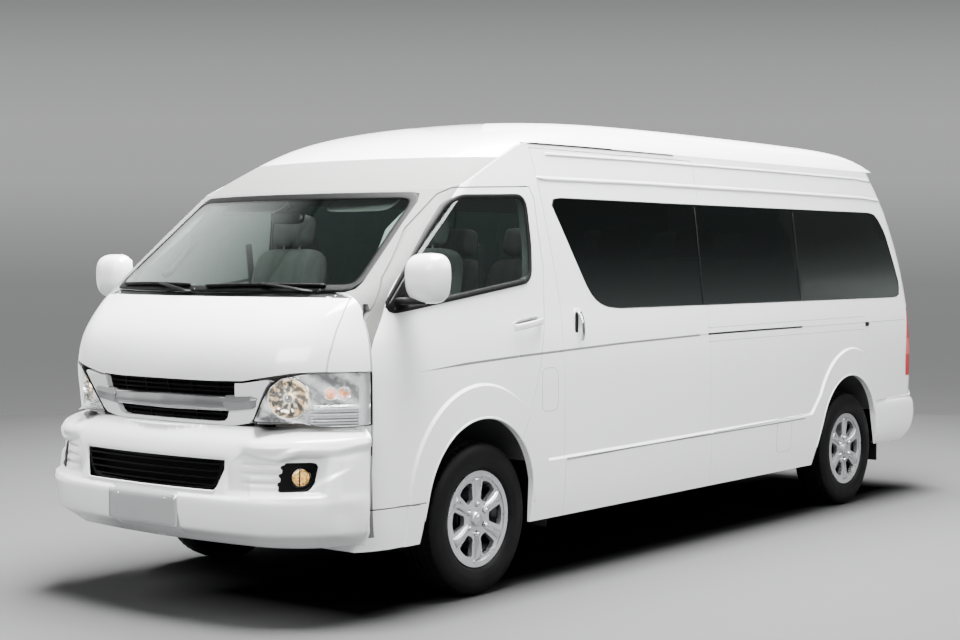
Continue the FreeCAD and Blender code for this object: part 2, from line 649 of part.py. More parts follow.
def door_sweep(inset):
    """What the door's front edge sweeps about the hinge axis, at one depth in the skin."""
    low, high = FRONT_DOOR_shares[0][1] * HEIGHT, FRONT_DOOR_shares[2][1] * HEIGHT
    levels = [row for row in BODY_shares if low < row[0] * HEIGHT < high]
    axis = door_axis(0)
    rim = []
    for row in levels:
        out = skin_x(row, axis.y - DOOR_AXIS_BACK, inset) - axis.x
        rim.append((row[0] * HEIGHT, math.hypot(out, DOOR_AXIS_BACK) + DOOR_GAP))
    rim = [(low - DOOR_GAP, rim[0][1])] + rim + [(high + DOOR_GAP, rim[-1][1])]
    corners = [V(axis.x, axis.y, rim[0][0])] + [V(axis.x + r, axis.y, z) for z, r in rim]
    corners += [V(axis.x, axis.y, rim[-1][0])]
    face = Part.Face(Part.makePolygon(corners + corners[:1]))
    return face.revolve(V(axis.x, axis.y, 0), V(0, 0, 1), 360)


def skin_x(row, y, inset):
    """Half width of one body section at a place along the front corner."""
    strip = section_strips(row, inset)[1]
    edge = Part.BezierCurve()
    edge.setPoles(strip)
    cut = edge.toShape().common(box(0, WIDTH, y - OVERRUN * 2, y, 0, HEIGHT))
    ends = [v.Point for e in cut.Edges for v in e.Vertexes]
    return max(p.x for p in ends) if ends else strip[-1].x


def door_hinge_levels():
    return [share * HEIGHT for share in DOOR_HINGE_LEVEL_shares]


def door_pocket():
    """Room in the left door for the arms of its two hinges, with the bores for their pins."""
    skin = sectioned_solid(BODY_shares, DOOR_HINGE_SKIN)
    room = []
    for z in door_hinge_levels():
        low = z - DOOR_GAP
        high = z + DOOR_HINGE_HEIGHT + DOOR_GAP
        room.append(rod(door_axis(low), door_axis(high), DOOR_POCKET_RADIUS))
        room.append(rod(door_axis(low - DOOR_PIN_END - RUN), door_axis(high + DOOR_PIN_END + RUN),
                        DOOR_PIN_DIAMETER / 2 + RUN))
    return fused(room[:2]).fuse(fused(room[2:])).common(skin)


def door_hinges():
    """Swan-neck arms from the left hinge pillar to the pins that the door turns on."""
    pin = DOOR_PIN_DIAMETER / 2
    inner = -HINGE_REACH - HINGE_ARM
    axis = door_axis(0)
    back = nose_rear() - axis.y
    arms = []
    for z in door_hinge_levels():
        low = z - DOOR_GAP - DOOR_PIN_END
        high = z + DOOR_HINGE_HEIGHT + DOOR_GAP + DOOR_PIN_END
        pieces = [rod(door_axis(low), door_axis(high), pin)]
        for x0, x1, y0, y1 in ((inner, pin, -pin, pin), (inner, -HINGE_REACH, back, pin),
                               (inner, HINGE_ARM - HINGE_REACH, back, back + HINGE_ARM * 2)):
            pieces.append(box(axis.x + x0, axis.x + x1, axis.y + y0, axis.y + y1, z, z + DOOR_HINGE_HEIGHT))
        arms.append(fused(pieces))
    return arms


def bonnet_axis(x):
    return V(x, FRONT_AXLE - BONNET_AXIS_Y_share * HALF_WIDTH, BONNET_AXIS_Z_share * HEIGHT)


def bonnet_hinge():
    """Left bonnet hinge: the lug with its bore, the body's bracket with its pin, and the lug's notch."""
    x = BONNET_HINGE_X_share * HALF_WIDTH
    axis = bonnet_axis(x)
    radius = BONNET_KNUCKLE_DIAMETER / 2
    width = BONNET_KNUCKLE_DIAMETER
    inner, outer = x - width - RUN, x - RUN
    lug = rod(bonnet_axis(inner), bonnet_axis(outer), radius)
    lug = lug.fuse(box(inner, outer, axis.y - BONNET_LUG, axis.y, axis.z - width, axis.z))
    lug = lug.cut(rod(bonnet_axis(x - width * 2), bonnet_axis(x + width), BONNET_PIN_DIAMETER / 2 + RUN))
    pin = rod(bonnet_axis(x - width), bonnet_axis(x + width), BONNET_PIN_DIAMETER / 2)
    bracket = fused([pin, rod(axis, bonnet_axis(x + width), radius),
                     box(x, x + width, axis.y, axis.y + radius * 3, axis.z - radius, axis.z + radius)])
    low, high = axis.z - width - DOOR_GAP, axis.z + WALL
    behind = axis.y + radius + DOOR_GAP
    notch = box(inner - DOOR_GAP, x, axis.y - BONNET_LUG, behind, low, high).fuse(
        box(inner - DOOR_GAP, x + DOOR_GAP, axis.y - BONNET_LUG, axis.y - radius - DOOR_GAP, low, high))
    return lug.common(sectioned_solid(BODY_shares, GLASS_SET_BACK)), bracket, notch


def gate_axis(x):
    return V(x, REAR_AXLE + GATE_AXIS_Y_share * REAR_OVERHANG, GATE_AXIS_Z_share * HEIGHT)


def gate_hinge(side):
    """One tailgate hinge: the gate's knuckle with its bore, and the body's knuckle with its pin."""
    x = GATE_HINGE_X_share * HALF_WIDTH
    axis = gate_axis(x)
    radius = GATE_KNUCKLE_DIAMETER / 2
    width = GATE_KNUCKLE_WIDTH
    deep = WALL * 3 / 4
    knuckle = rod(gate_axis(x + RUN), gate_axis(x + RUN + width), radius)
    knuckle = knuckle.fuse([box(x + RUN, x + RUN + width, axis.y - deep, axis.y + radius,
                                axis.z - GATE_BRACKET_DROP, axis.z - radius),
                            box(x + RUN, x + RUN + width, axis.y - radius, axis.y + radius,
                                axis.z - radius * 2, axis.z)])
    knuckle = knuckle.cut(rod(gate_axis(x), gate_axis(x + width * 2), GATE_PIN_DIAMETER / 2 + RUN))
    stand = fused([rod(gate_axis(x - width), axis, radius),
                   rod(axis, gate_axis(x + width), GATE_PIN_DIAMETER / 2),
                   box(x - width, x, axis.y - WALL, axis.y + radius, axis.z, axis.z + GATE_BRACKET_DROP)])
    keep = sectioned_solid(BODY_shares, WALL / 2)
    pair = knuckle.cut(keep), stand.cut(keep)
    return pair if side > 0 else tuple(mirrored(s) for s in pair)


def build_body_parts():
    parts = {}
    outer = sectioned_solid(BODY_shares, 0)
    inner = sectioned_solid(BODY_shares, WALL)
    above = above_gutter()
    band = raised_band()
    whole = outer.cut(above).fuse([band, mirrored(band)])
    hollow = whole.cut(inner.common(side_prism(cab_outline(0), -WIDTH, WIDTH)))
    hollow = hollow.cut(sectioned_solid(BODY_shares, PANEL + DOOR_GAP).common(
        side_prism(bay_outline(), -WIDTH, WIDTH)))
    for shares in (FRONT_ARCH_shares, REAR_ARCH_shares):
        skin, well = arch_space(shares, 0)
        for cut in (skin, well, mirrored(well)):
            hollow = hollow.cut(cut)
        hollow = hollow.cut(mirrored(skin))
    bonnet_cut = front_prism(grown_half(front_points(BONNET_shares), DOOR_GAP), -LENGTH, 0)
    layer = outer.cut(sectioned_solid(BODY_shares, PANEL))
    deep_layer = outer.cut(sectioned_solid(BODY_shares, PANEL + DOOR_GAP))
    hinge_y = FRONT_AXLE - BONNET_HINGE_share * HALF_WIDTH
    bonnet = layer.common(front_prism(front_points(BONNET_shares), -LENGTH, hinge_y))
    bonnet_top = BONNET_shares[-1][1] * HEIGHT
    bonnet = bonnet.cut(sectioned_solid(BODY_shares, BONNET_FLANGE).common(
        centred_box(WIDTH, -LENGTH, 0, bonnet_top - BONNET_FLANGE_HEIGHT, HEIGHT)))
    hollow = hollow.cut(deep_layer.common(bonnet_cut).common(beyond(hinge_y + DOOR_GAP, False)))
    screen_foot = front_points(WINDSCREEN_shares[:4])
    cowl = [(0, bonnet_top), (screen_foot[-1][0], bonnet_top)] + screen_foot[::-1]
    hollow = hollow.cut(deep_layer.common(front_prism(cowl, -LENGTH, hinge_y + DOOR_GAP)))
    hollow = hollow.cut(side_prism(nose_outline(), -WIDTH, WIDTH))
    lug, bonnet_bracket, notch = bonnet_hinge()
    hollow = hollow.cut(notch).cut(mirrored(notch))
    parts["bonnet"] = bonnet.fuse([lug, mirrored(lug)])
    # Front doors
    door_points = side_points(FRONT_DOOR_shares)
    window = side_prism(side_points(DOOR_WINDOW_shares), 0, WIDTH)
    left_door = hollow.common(side_prism(door_points, 0, WIDTH)).cut(window)
    door_hole = side_prism(grown(door_points, DOOR_GAP), 0, WIDTH)
    hollow = hollow.cut(door_hole).cut(mirrored(door_hole))
    left_door = left_door.cut(door_pocket())
    relief = door_sweep(0).common(box(0, WIDTH, -LENGTH, door_axis(0).y, 0, HEIGHT))
    hollow = hollow.cut(relief).cut(mirrored(relief))
    parts["front_door_left"] = left_door
    parts["front_door_right"] = mirrored(left_door)
    # Side windows, sliding door and tailgate
    side_window = window_prisms(0)
    hollow = hollow.cut(side_window).cut(mirrored(side_window))
    slide_points = side_points(SLIDE_DOOR_shares)
    parts["sliding_door"] = hollow.common(side_prism(slide_points, 0, WIDTH))
    hollow = hollow.cut(side_prism(grown(slide_points, SHUT_LINE), 0, WIDTH))
    gate_points = front_points(TAILGATE_shares)
    gate_front = REAR_AXLE + REAR_OVERHANG / 2
    rear_window = front_prism(front_points(REAR_WINDOW_shares), gate_front, LENGTH)
    gate = hollow.common(front_prism(gate_points, gate_front, LENGTH)).cut(rear_window)
    gate_hinges = [gate_hinge(1), gate_hinge(-1)]
    parts["tailgate"] = gate.fuse([pair[0] for pair in gate_hinges])
    hollow = hollow.cut(front_prism(grown_half(gate_points, DOOR_GAP), gate_front, LENGTH))
    # Windscreen opening, tail lamps and rear bumper
    hollow = hollow.cut(front_prism(front_points(WINDSCREEN_shares), -LENGTH, 0))
    lamp_inner = HALF_WIDTH - TAIL_LAMP_REACH
    lamp_prism = side_prism(side_points(TAIL_LAMP_shares), lamp_inner, WIDTH)
    lamp = outer.cut(inner).common(lamp_prism)
    parts["tail_lamps"] = Part.Compound([lamp, mirrored(lamp)])
    lamp_hole = side_prism(grown(side_points(TAIL_LAMP_shares), FIT), lamp_inner - FIT, WIDTH)
    hollow = hollow.cut(lamp_hole).cut(mirrored(lamp_hole))
    bumper = sectioned_solid(REAR_BUMPER_shares, 0).cut(sectioned_solid(REAR_BUMPER_shares, BUMPER_WALL))
    hollow = hollow.cut(beyond(REAR_AXLE + REAR_BUMPER_share * REAR_OVERHANG - FIT).common(
        centred_box(WIDTH, 0, LENGTH, 0, REAR_BUMPER_shares[-1][0] * HEIGHT + FIT)))
    bumper = bumper.common(beyond(REAR_AXLE + REAR_BUMPER_share * REAR_OVERHANG))
    for cut in arch_space(REAR_ARCH_shares, 0):
        bumper = bumper.cut(cut).cut(mirrored(cut))
    parts["rear_bumper"] = bumper
    stands = [bonnet_bracket, mirrored(bonnet_bracket)] + [pair[1] for pair in gate_hinges]
    for arm in door_hinges():
        stands += [arm, mirrored(arm)]
    parts["body_shell"] = hollow.fuse(stands)
    # Glass: one thin layer of the outer skin, cut to each opening
    glass = sectioned_solid(BODY_shares, GLASS_SET_BACK)
    glass = glass.cut(sectioned_solid(BODY_shares, GLASS_SET_BACK + GLASS))
    screen = grown_half(front_points(WINDSCREEN_shares), -FIT)
    parts["windscreen"] = glass.common(front_prism(screen, -LENGTH, 0))
    band_glass = glass.common(window_prisms(-FIT))
    for split in PANE_SPLIT_shares:
        y = FRONT_AXLE + split * WHEELBASE
        band_glass = band_glass.cut(box(0, WIDTH, y - SHUT_LINE / 2, y + SHUT_LINE / 2, 0, HEIGHT))
    parts["side_glass"] = Part.Compound([band_glass, mirrored(band_glass)])
    door_glass = glass.common(side_prism(grown(side_points(DOOR_WINDOW_shares), -FIT), 0, WIDTH))
    parts["door_glass_left"] = door_glass
    parts["door_glass_right"] = mirrored(door_glass)
    parts["tailgate_glass"] = glass.common(
        front_prism(grown_half(front_points(REAR_WINDOW_shares), -FIT), gate_front, LENGTH))
    # Nose pieces
    depth = sectioned_solid(BODY_shares, PANEL)
    upper = front_prism(front_points(UPPER_OPENING_shares), -LENGTH, 0)
    lower = front_prism(front_points(LOWER_OPENING_shares), -LENGTH, 0)
    panel = front_prism(front_points(GRILLE_PANEL_shares), -LENGTH, 0)
    lamp_room = lamp_block(FIT)
    panel = outer.cut(depth).common(panel).cut(lamp_room).cut(mirrored(lamp_room))
    parts["grille_panel"] = panel.cut(upper).cut(lower)
    bar = front_prism(front_points(BAR_shares), -LENGTH, 0)
    parts["grille_bar"] = sectioned_solid(BODY_shares, -BAR_PROUD).cut(
        sectioned_solid(BODY_shares, -FIT)).common(bar).cut(lamp_room).cut(mirrored(lamp_room))
    parts["grille"] = build_grille()
    lamp = build_headlamp()
    parts["headlamps"] = Part.Compound([lamp, mirrored(lamp)])
    return parts


def grown_half(points, margin):
    """Grows a half outline whose ends lie on the centre line."""
    whole = points + [(-x, z) for x, z in reversed(points) if x > 0]
    return [p for p in grown(whole, margin)][:len(points)]


def build_grille():
    """Slats and uprights behind the two openings between the headlamps."""
    front = sectioned_solid(BODY_shares, FIT + PANEL)
    layer = front.cut(sectioned_solid(BODY_shares, FIT + PANEL + SLAT_DEPTH))
    half = UPPER_OPENING_shares[2][0] * HALF_WIDTH + SLAT
    low = GRILLE_PANEL_shares[0][1] * HEIGHT
    high = GRILLE_PANEL_shares[-1][1] * HEIGHT
    bars = []
    z = low
    while z < high:
        bars.append(centred_box(half, -LENGTH, 0, z, z + SLAT))
        z += SLAT_PITCH
    count = int(half / UPRIGHT_PITCH)
    for k in range(-count, count + 1):
        x = k * UPRIGHT_PITCH
        bars.append(box(x - SLAT / 2, x + SLAT / 2, -LENGTH, 0, low, z - SLAT_PITCH))
    return layer.common(fused(bars))


def lamp_block(margin):
    """The left headlamp's outline, carried at 45 degrees through the corner of the nose."""
    half_root = math.sqrt(0.5)
    base = FRONT_AXLE
    turned = grown([(share * HALF_WIDTH, z_share * HEIGHT) for share, z_share in LAMP_shares], margin)

    def at(along, out, z):
        return V((along + out) * half_root, base + (along - out) * half_root, z)
    start = LAMP_REAR_share * HALF_WIDTH
    corners = [at(a, start, z) for a, z in turned]
    step = at(0, OVERRUN, 0) - at(0, 0, 0)
    block = Part.Face(Part.makePolygon(corners + corners[:1])).extrude(step)
    return block


def build_headlamp():
    block = sectioned_solid(BODY_shares, -LAMP_PROUD).common(lamp_block(0))
    return block.common(beyond(nose_rear() - FIT, False))


def build_front_bumper():
    skin = sectioned_solid(FRONT_BUMPER_shares, 0)
    ledge = FRONT_BUMPER_shares[-1][0] * HEIGHT - BUMPER_WALL
    room = sectioned_solid(FRONT_BUMPER_shares, BUMPER_WALL).common(
        box(-WIDTH, WIDTH, -LENGTH, LENGTH, -HEIGHT, ledge))
    rear = nose_rear()
    bumper = skin.cut(room).common(beyond(rear - FIT, False))
    grille = front_prism(front_points(LOWER_GRILLE_shares), -LENGTH, rear - OVERRUN / 2)
    fog = front_prism(front_points(FOG_shares), -LENGTH, rear, False)
    plate_front = FRONT_AXLE - FRONT_OVERHANG + PLATE_RECESS
    plate = box(-PLATE_HALF_WIDTH, PLATE_HALF_WIDTH, plate_front - OVERRUN, plate_front,
                PLATE_BOTTOM, PLATE_BOTTOM + PLATE_HEIGHT)
    return bumper.cut(grille).cut(fog).cut(mirrored(fog)).cut(plate)


def build_lower_grille():
    """Frame and slats that fill the opening in the front bumper."""
    points = front_points(LOWER_GRILLE_shares)
    front = sectioned_solid(FRONT_BUMPER_shares, SLAT)
    layer = front.cut(sectioned_solid(FRONT_BUMPER_shares, SLAT + SLAT_DEPTH))
    filled = front_prism(grown_half(points, -FIT), -LENGTH, FRONT_AXLE - HALF_WIDTH)
    opened = front_prism(grown_half(points, -SLAT * 2), -LENGTH, FRONT_AXLE - HALF_WIDTH)
    frame = layer.common(filled).cut(opened)
    low = min(z for _, z in points)
    high = max(z for _, z in points)
    count = LOWER_SLAT_COUNT
    pitch = (high - low) / (count + 1)
    half = max(x for x, _ in points)
    slats = []
    for k in range(1, count + 1):
        z = low + k * pitch
        slats.append(centred_box(half, -LENGTH, 0, z - SLAT / 2, z + SLAT / 2))
    bars = layer.common(opened).common(fused(slats))
    return frame.fuse(bars)


def build_fog_lamp():
    """Black bezel with its round lamp, left side."""
    x = FOG_LAMP_X_share * HALF_WIDTH
    z = FOG_LAMP_Z_share * HEIGHT
    rear = FRONT_AXLE - HALF_WIDTH
    skin = sectioned_solid(FRONT_BUMPER_shares, FOG_SET_BACK)
    bezel = skin.cut(sectioned_solid(FRONT_BUMPER_shares, FOG_SET_BACK + SLAT_DEPTH)).common(
        front_prism(grown(front_points(FOG_shares), -FIT), -LENGTH, rear + OVERRUN / 2, False))
    eye = rod(V(x, -LENGTH, z), V(x, rear + OVERRUN / 2, z), FOG_LAMP_DIAMETER / 2)
    lens = sectioned_solid(FRONT_BUMPER_shares, SLAT / 2).common(eye).cut(
        sectioned_solid(FRONT_BUMPER_shares, FOG_SET_BACK + SLAT_DEPTH))
    return bezel.fuse(lens)


def build_roof():
    return roof_dome(0).common(above_gutter()).cut(roof_dome(ROOF_WALL))


def rounded_box(x0, x1, y0, y1, z0, z1, radius):
    block = box(x0, x1, y0, y1, z0, z1)
    return block.makeFillet(radius, block.Edges)


def build_mirror():
    """Left door mirror: rounded shell on a foot that seats in the window's front corner."""
    y = FRONT_AXLE + MIRROR_Y_share * WHEELBASE
    z = MIRROR_Z_share * HEIGHT
    inner = HALF_WIDTH - MIRROR_INSET
    shell = rounded_box(inner, inner + MIRROR_REACH, y - MIRROR_DEPTH / 2, y + MIRROR_DEPTH / 2,
                        z - MIRROR_HEIGHT / 2, z + MIRROR_HEIGHT / 2, MIRROR_ROUND)
    low = z - MIRROR_HEIGHT / 2 - FIT
    arm = box(HALF_WIDTH - MIRROR_ROOT, inner + MIRROR_REACH / 2,
              y - MIRROR_FOOT / 4, y + MIRROR_FOOT * 3 / 4, low + MIRROR_FOOT / 4, low + MIRROR_FOOT * 5 / 4)
    arm = arm.cut(sectioned_solid(BODY_shares, 0))
    return shell.fuse(arm)


def build_seat(x, y, top, width, length, base):
    """One seat on its base: cushion, raked back and headrest, each its own piece."""
    depth = SEAT_BACK_THICKNESS
    foot = base.cut(box(-WIDTH, WIDTH, y - length, y + length * 2, top - SEAT_CUSHION, HEIGHT))
    cushion = rounded_box(x - width / 2, x + width / 2, y, y + length,
                          top - SEAT_CUSHION + FIT, top, SEAT_ROUND)

    def upper(margin):
        back = rounded_box(x - width / 2 - margin, x + width / 2 + margin,
                           y + length - depth - margin, y + length + margin,
                           top - SEAT_CUSHION / 2 - margin, top + SEAT_BACK_HEIGHT + margin, SEAT_ROUND)
        back.rotate(V(x, y + length, top), V(-1, 0, 0), SEAT_RAKE)
        return back
    rest = rounded_box(x - HEADREST_WIDTH / 2, x + HEADREST_WIDTH / 2, y + length - depth,
                       y + length - SEAT_ROUND / 2, top + SEAT_BACK_HEIGHT + SEAT_ROUND / 2,
                       top + SEAT_BACK_HEIGHT + HEADREST_HEIGHT, SEAT_ROUND)
    stalk = rod(V(x, y + length - depth / 2, top + SEAT_BACK_HEIGHT + FIT),
                V(x, y + length - depth / 2, top + SEAT_BACK_HEIGHT + SEAT_ROUND), SEAT_ROUND / 2)
    rest = rest.fuse(stalk)
    rest.rotate(V(x, y + length, top), V(-1, 0, 0), SEAT_RAKE)
    return [foot, cushion.cut(upper(FIT)), upper(0), rest]


def build_front_seat(side):
    x = side * FRONT_SEAT_X
    y = FRONT_AXLE + FRONT_SEAT_Y_share * WHEELBASE - SEAT_LENGTH / 2
    foot = box(side * (WELL_INNER_X - WELL_WALL * 2), side * (ENGINE_WIDTH / 2 + HUMP_MARGIN * 2),
               y + SEAT_ROUND, y + SEAT_LENGTH - SEAT_ROUND * 2, FLOOR_TOP + FIT, SEAT_TOP)
    return build_seat(x, y, SEAT_TOP, SEAT_WIDTH, SEAT_LENGTH, foot)


def build_seat_row(index):
    """A pair on the right and a single seat on the left of the aisle, each on its own base."""
    y = FRONT_AXLE + REAR_ROW_FIRST_share * WHEELBASE + index * REAR_ROW_PITCH
    top = REAR_SEAT_TOP
    outer = AISLE_SEAT_X
    inner = outer - REAR_SEAT_WIDTH - SEAT_ROUND
    seats = []
    wall_foot = WELL_INNER_X - SEAT_ROUND * 2
    for x, foot in ((outer, wall_foot), (-outer, -wall_foot), (-inner, -inner)):
        base = box(foot - SEAT_ROUND, foot + SEAT_ROUND, y + SEAT_ROUND, y + SEAT_LENGTH - SEAT_ROUND * 2,
                   FLOOR_TOP + FIT, top)
        seats += build_seat(x, y, top, REAR_SEAT_WIDTH, SEAT_LENGTH, base)
    return seats


def build_dashboard():
    firewall = FRONT_AXLE - FIREWALL_FRONT_share * HALF_WIDTH + FIREWALL + FIT
    top = COWL_TOP_share * HEIGHT + FIT
    low = top - DASH_HEIGHT
    face = firewall + DASH_DEPTH
    outline = [(firewall, low), (firewall, top), (firewall - DASH_DEPTH / 2, top),
               (firewall - DASH_DEPTH / 2, top + DASH_LIP), (firewall, top + DASH_LIP),
               (face - DASH_DEPTH / 4, top - DASH_LIP), (face, top - DASH_HEIGHT / 4),
               (face - DASH_DEPTH / 8, top - DASH_HEIGHT / 2), (face - DASH_DEPTH / 3, low)]
    room = sectioned_solid(BODY_shares, WALL + DOOR_GAP)
    start, end = steering_column()
    dash = room.common(side_prism(outline, -WIDTH, WIDTH)).cut(rod(start, end, STEERING_RIM + FIT))
    return clear_of_doors(dash)


def steering_column():
    """Both ends of the column: deep in the dashboard, and at the wheel's centre."""
    dash_face = FRONT_AXLE - FIREWALL_FRONT_share * HALF_WIDTH + FIREWALL + DASH_DEPTH
    centre = V(-FRONT_SEAT_X, dash_face + STEERING_REACH, COWL_TOP_share * HEIGHT - STEERING_DROP)
    tilt = math.radians(STEERING_TILT)
    return centre - V(0, math.sin(tilt), math.cos(tilt)) * (STEERING_REACH * 2), centre


def build_steering_wheel():
    start, centre = steering_column()
    tilt = math.radians(STEERING_TILT)
    axis = V(0, math.sin(tilt), math.cos(tilt))
    radius = STEERING_WHEEL_DIAMETER / 2 - STEERING_RIM / 2
    ring = Part.makeTorus(radius, STEERING_RIM / 2, centre, axis)
    hub = rod(centre - axis * STEERING_RIM, centre + axis * (STEERING_RIM / 2), STEERING_RIM * 2)
    column = rod(start, centre, STEERING_RIM)
    parts = [hub, column]
    for k in range(STEERING_SPOKES):
        turn = math.pi / 2 + 2 * math.pi * k / STEERING_SPOKES
        out = V(math.cos(turn), -math.sin(turn) * math.cos(tilt), math.sin(turn) * math.sin(tilt))
        parts.append(rod(centre, centre + out * radius, STEERING_RIM * 2 / 5))
    return ring.fuse(parts)


def well_shell(shares):
    """The wheel well's own sheet, open to the wheel."""
    lip = WELL_INNER_X - WELL_WALL
    wide = arch_cut(shares, WELL_CLEARANCE + WELL_WALL, lip, WIDTH)
    hollow = arch_cut(shares, WELL_CLEARANCE, WELL_INNER_X, WIDTH)
    return wide.cut(hollow)


def build_floor():
    room = sectioned_solid(BODY_shares, WALL + DOOR_GAP)
    firewall = FRONT_AXLE - FIREWALL_FRONT_share * HALF_WIDTH + FIREWALL + FIT
    rear = REAR_AXLE + FLOOR_REAR_share * REAR_OVERHANG
    slab = box(-WIDTH, WIDTH, firewall, rear, FLOOR_TOP - FLOOR_THICKNESS, FLOOR_TOP)
    low = FLOOR_TOP - FLOOR_THICKNESS
    pieces = [slab]
    wells = []
    for shares in (FRONT_ARCH_shares, REAR_ARCH_shares):
        shell = well_shell(shares).common(box(-WIDTH, WIDTH, -LENGTH, LENGTH, low, HEIGHT))
        pieces += [shell, mirrored(shell)]
        space = arch_cut(shares, WELL_CLEARANCE, WELL_INNER_X, WIDTH)
        wells += [space, mirrored(space)]
    half = ENGINE_WIDTH / 2 + HUMP_MARGIN
    front = engine_front() - HUMP_MARGIN
    back = engine_front() + ENGINE_LENGTH + HUMP_MARGIN
    top = ENGINE_BOTTOM + ENGINE_HEIGHT + HUMP_MARGIN
    hump = centred_box(half + WELL_WALL, front - WELL_WALL, back + WELL_WALL, low, top + WELL_WALL)
    under = centred_box(half, front, back, low - OVERRUN, top)
    floor = pieces[0].fuse(pieces[1:] + [hump])
    for cut in wells + [under]:
        floor = floor.cut(cut)
    return clear_of_doors(floor.common(room))


def clear_of_doors(piece):
    """Takes away what the inner front edges of the opening doors would sweep."""
    sweep = door_sweep(WALL + DOOR_GAP)
    return piece.cut(sweep).cut(mirrored(sweep))


def engine_front():
    return FRONT_AXLE - ENGINE_AHEAD


def build_engine():
    return centred_box(ENGINE_WIDTH / 2, engine_front(), engine_front() + ENGINE_LENGTH,
                       ENGINE_BOTTOM, ENGINE_BOTTOM + ENGINE_HEIGHT)


def build_rails():
    """Two box rails under the floor with cross members."""
    top = FLOOR_TOP - FLOOR_THICKNESS - FIT
    front = FRONT_AXLE - NOSE_RAIL_share * HALF_WIDTH
    rear = REAR_AXLE + RAIL_END_share * REAR_OVERHANG
    pieces = []
    for side in (-1, 1):
        x = side * RAIL_X
        pieces.append(box(x - RAIL_WIDTH / 2, x + RAIL_WIDTH / 2, front, rear, top - RAIL_HEIGHT, top))
    for share in CROSS_MEMBER_shares:
        y = FRONT_AXLE + share * WHEELBASE
        pieces.append(centred_box(RAIL_X, y, y + RAIL_WIDTH,
                                  top - RAIL_HEIGHT * 3 / 4, top - RAIL_HEIGHT / 4))
    return fused(pieces)


def build_front_beam():
    """Front suspension frame with its lower and upper arms, out to the ball joints."""
    kingpin = WHEEL_X - KINGPIN_INSET
    y = FRONT_AXLE
    beam = centred_box(RAIL_X + RAIL_WIDTH, y - BEAM_SECTION, y + BEAM_SECTION,
                       BEAM_TOP - BEAM_SECTION - BEAM_DROP, BEAM_TOP - BEAM_DROP)
    pieces = [beam]
    bracket = RAIL_X + RAIL_WIDTH / 2 + FIT
    low = AXLE_Z - KNUCKLE_HEIGHT / 2 - ARM_THICKNESS - FIT
    high = AXLE_Z + KNUCKLE_HEIGHT / 2 + FIT
    for side in (-1, 1):
        root = side * bracket
        tip = side * (kingpin - KNUCKLE_THICKNESS / 4)
        for z in (low, high):
            corners = [V(root, y - BEAM_SECTION * 2, z), V(root, y + BEAM_SECTION * 2, z),
                       V(tip, y + ARM_THICKNESS / 2, z), V(tip, y - ARM_THICKNESS / 2, z)]
            pieces.append(Part.Face(Part.makePolygon(corners + corners[:1])).extrude(V(0, 0, ARM_THICKNESS)))
        tower = box(root, root + side * ARM_THICKNESS, y - BEAM_SECTION * 2, y + BEAM_SECTION * 2,
                    low, high + ARM_THICKNESS)
        pieces.append(tower)
    return fused(pieces)


def build_knuckle():
    """Left steering knuckle: upright, stub axle and brake caliper."""
    x = WHEEL_X - KINGPIN_INSET
    y = FRONT_AXLE
    upright = rod(V(x, y, AXLE_Z - KNUCKLE_HEIGHT / 2), V(x, y, AXLE_Z + KNUCKLE_HEIGHT / 2),
                  KNUCKLE_THICKNESS / 2)
    stub = rod(V(x, y, AXLE_Z), V(hub_face() - DISC_THICKNESS - FIT, y, AXLE_Z), STUB_DIAMETER / 2)
    return upright.fuse(stub)


def hub_face():
    """Where the wheel's disc meets the hub."""
    return WHEEL_OUTER_FACE - DISC_OFFSET - DISC_THICKNESS


def build_rear_axle():
    half = hub_face() - DISC_THICKNESS - FIT
    tube = rod(V(-half, REAR_AXLE, AXLE_Z), V(half, REAR_AXLE, AXLE_Z), AXLE_TUBE / 2)
    pumpkin = Part.makeSphere(DIFF_DIAMETER / 2, V(0, REAR_AXLE, AXLE_Z)).common(
        centred_box(DIFF_WIDTH / 2, REAR_AXLE - DIFF_DIAMETER, REAR_AXLE + DIFF_DIAMETER, 0, HEIGHT))
    nose = rod(V(0, REAR_AXLE - DIFF_DIAMETER * 4 / 5, AXLE_Z), V(0, REAR_AXLE, AXLE_Z), AXLE_TUBE * 3 / 4)
    pieces = [pumpkin, nose]
    for side in (-1, 1):
        plate = side * (WHEEL_X - RIM_WIDTH / 2)
        pieces.append(rod(V(plate, REAR_AXLE, AXLE_Z), V(plate + side * BRAKE_WIDTH, REAR_AXLE, AXLE_Z),
                          BRAKE_DRUM / 2))
    return tube.fuse(pieces)


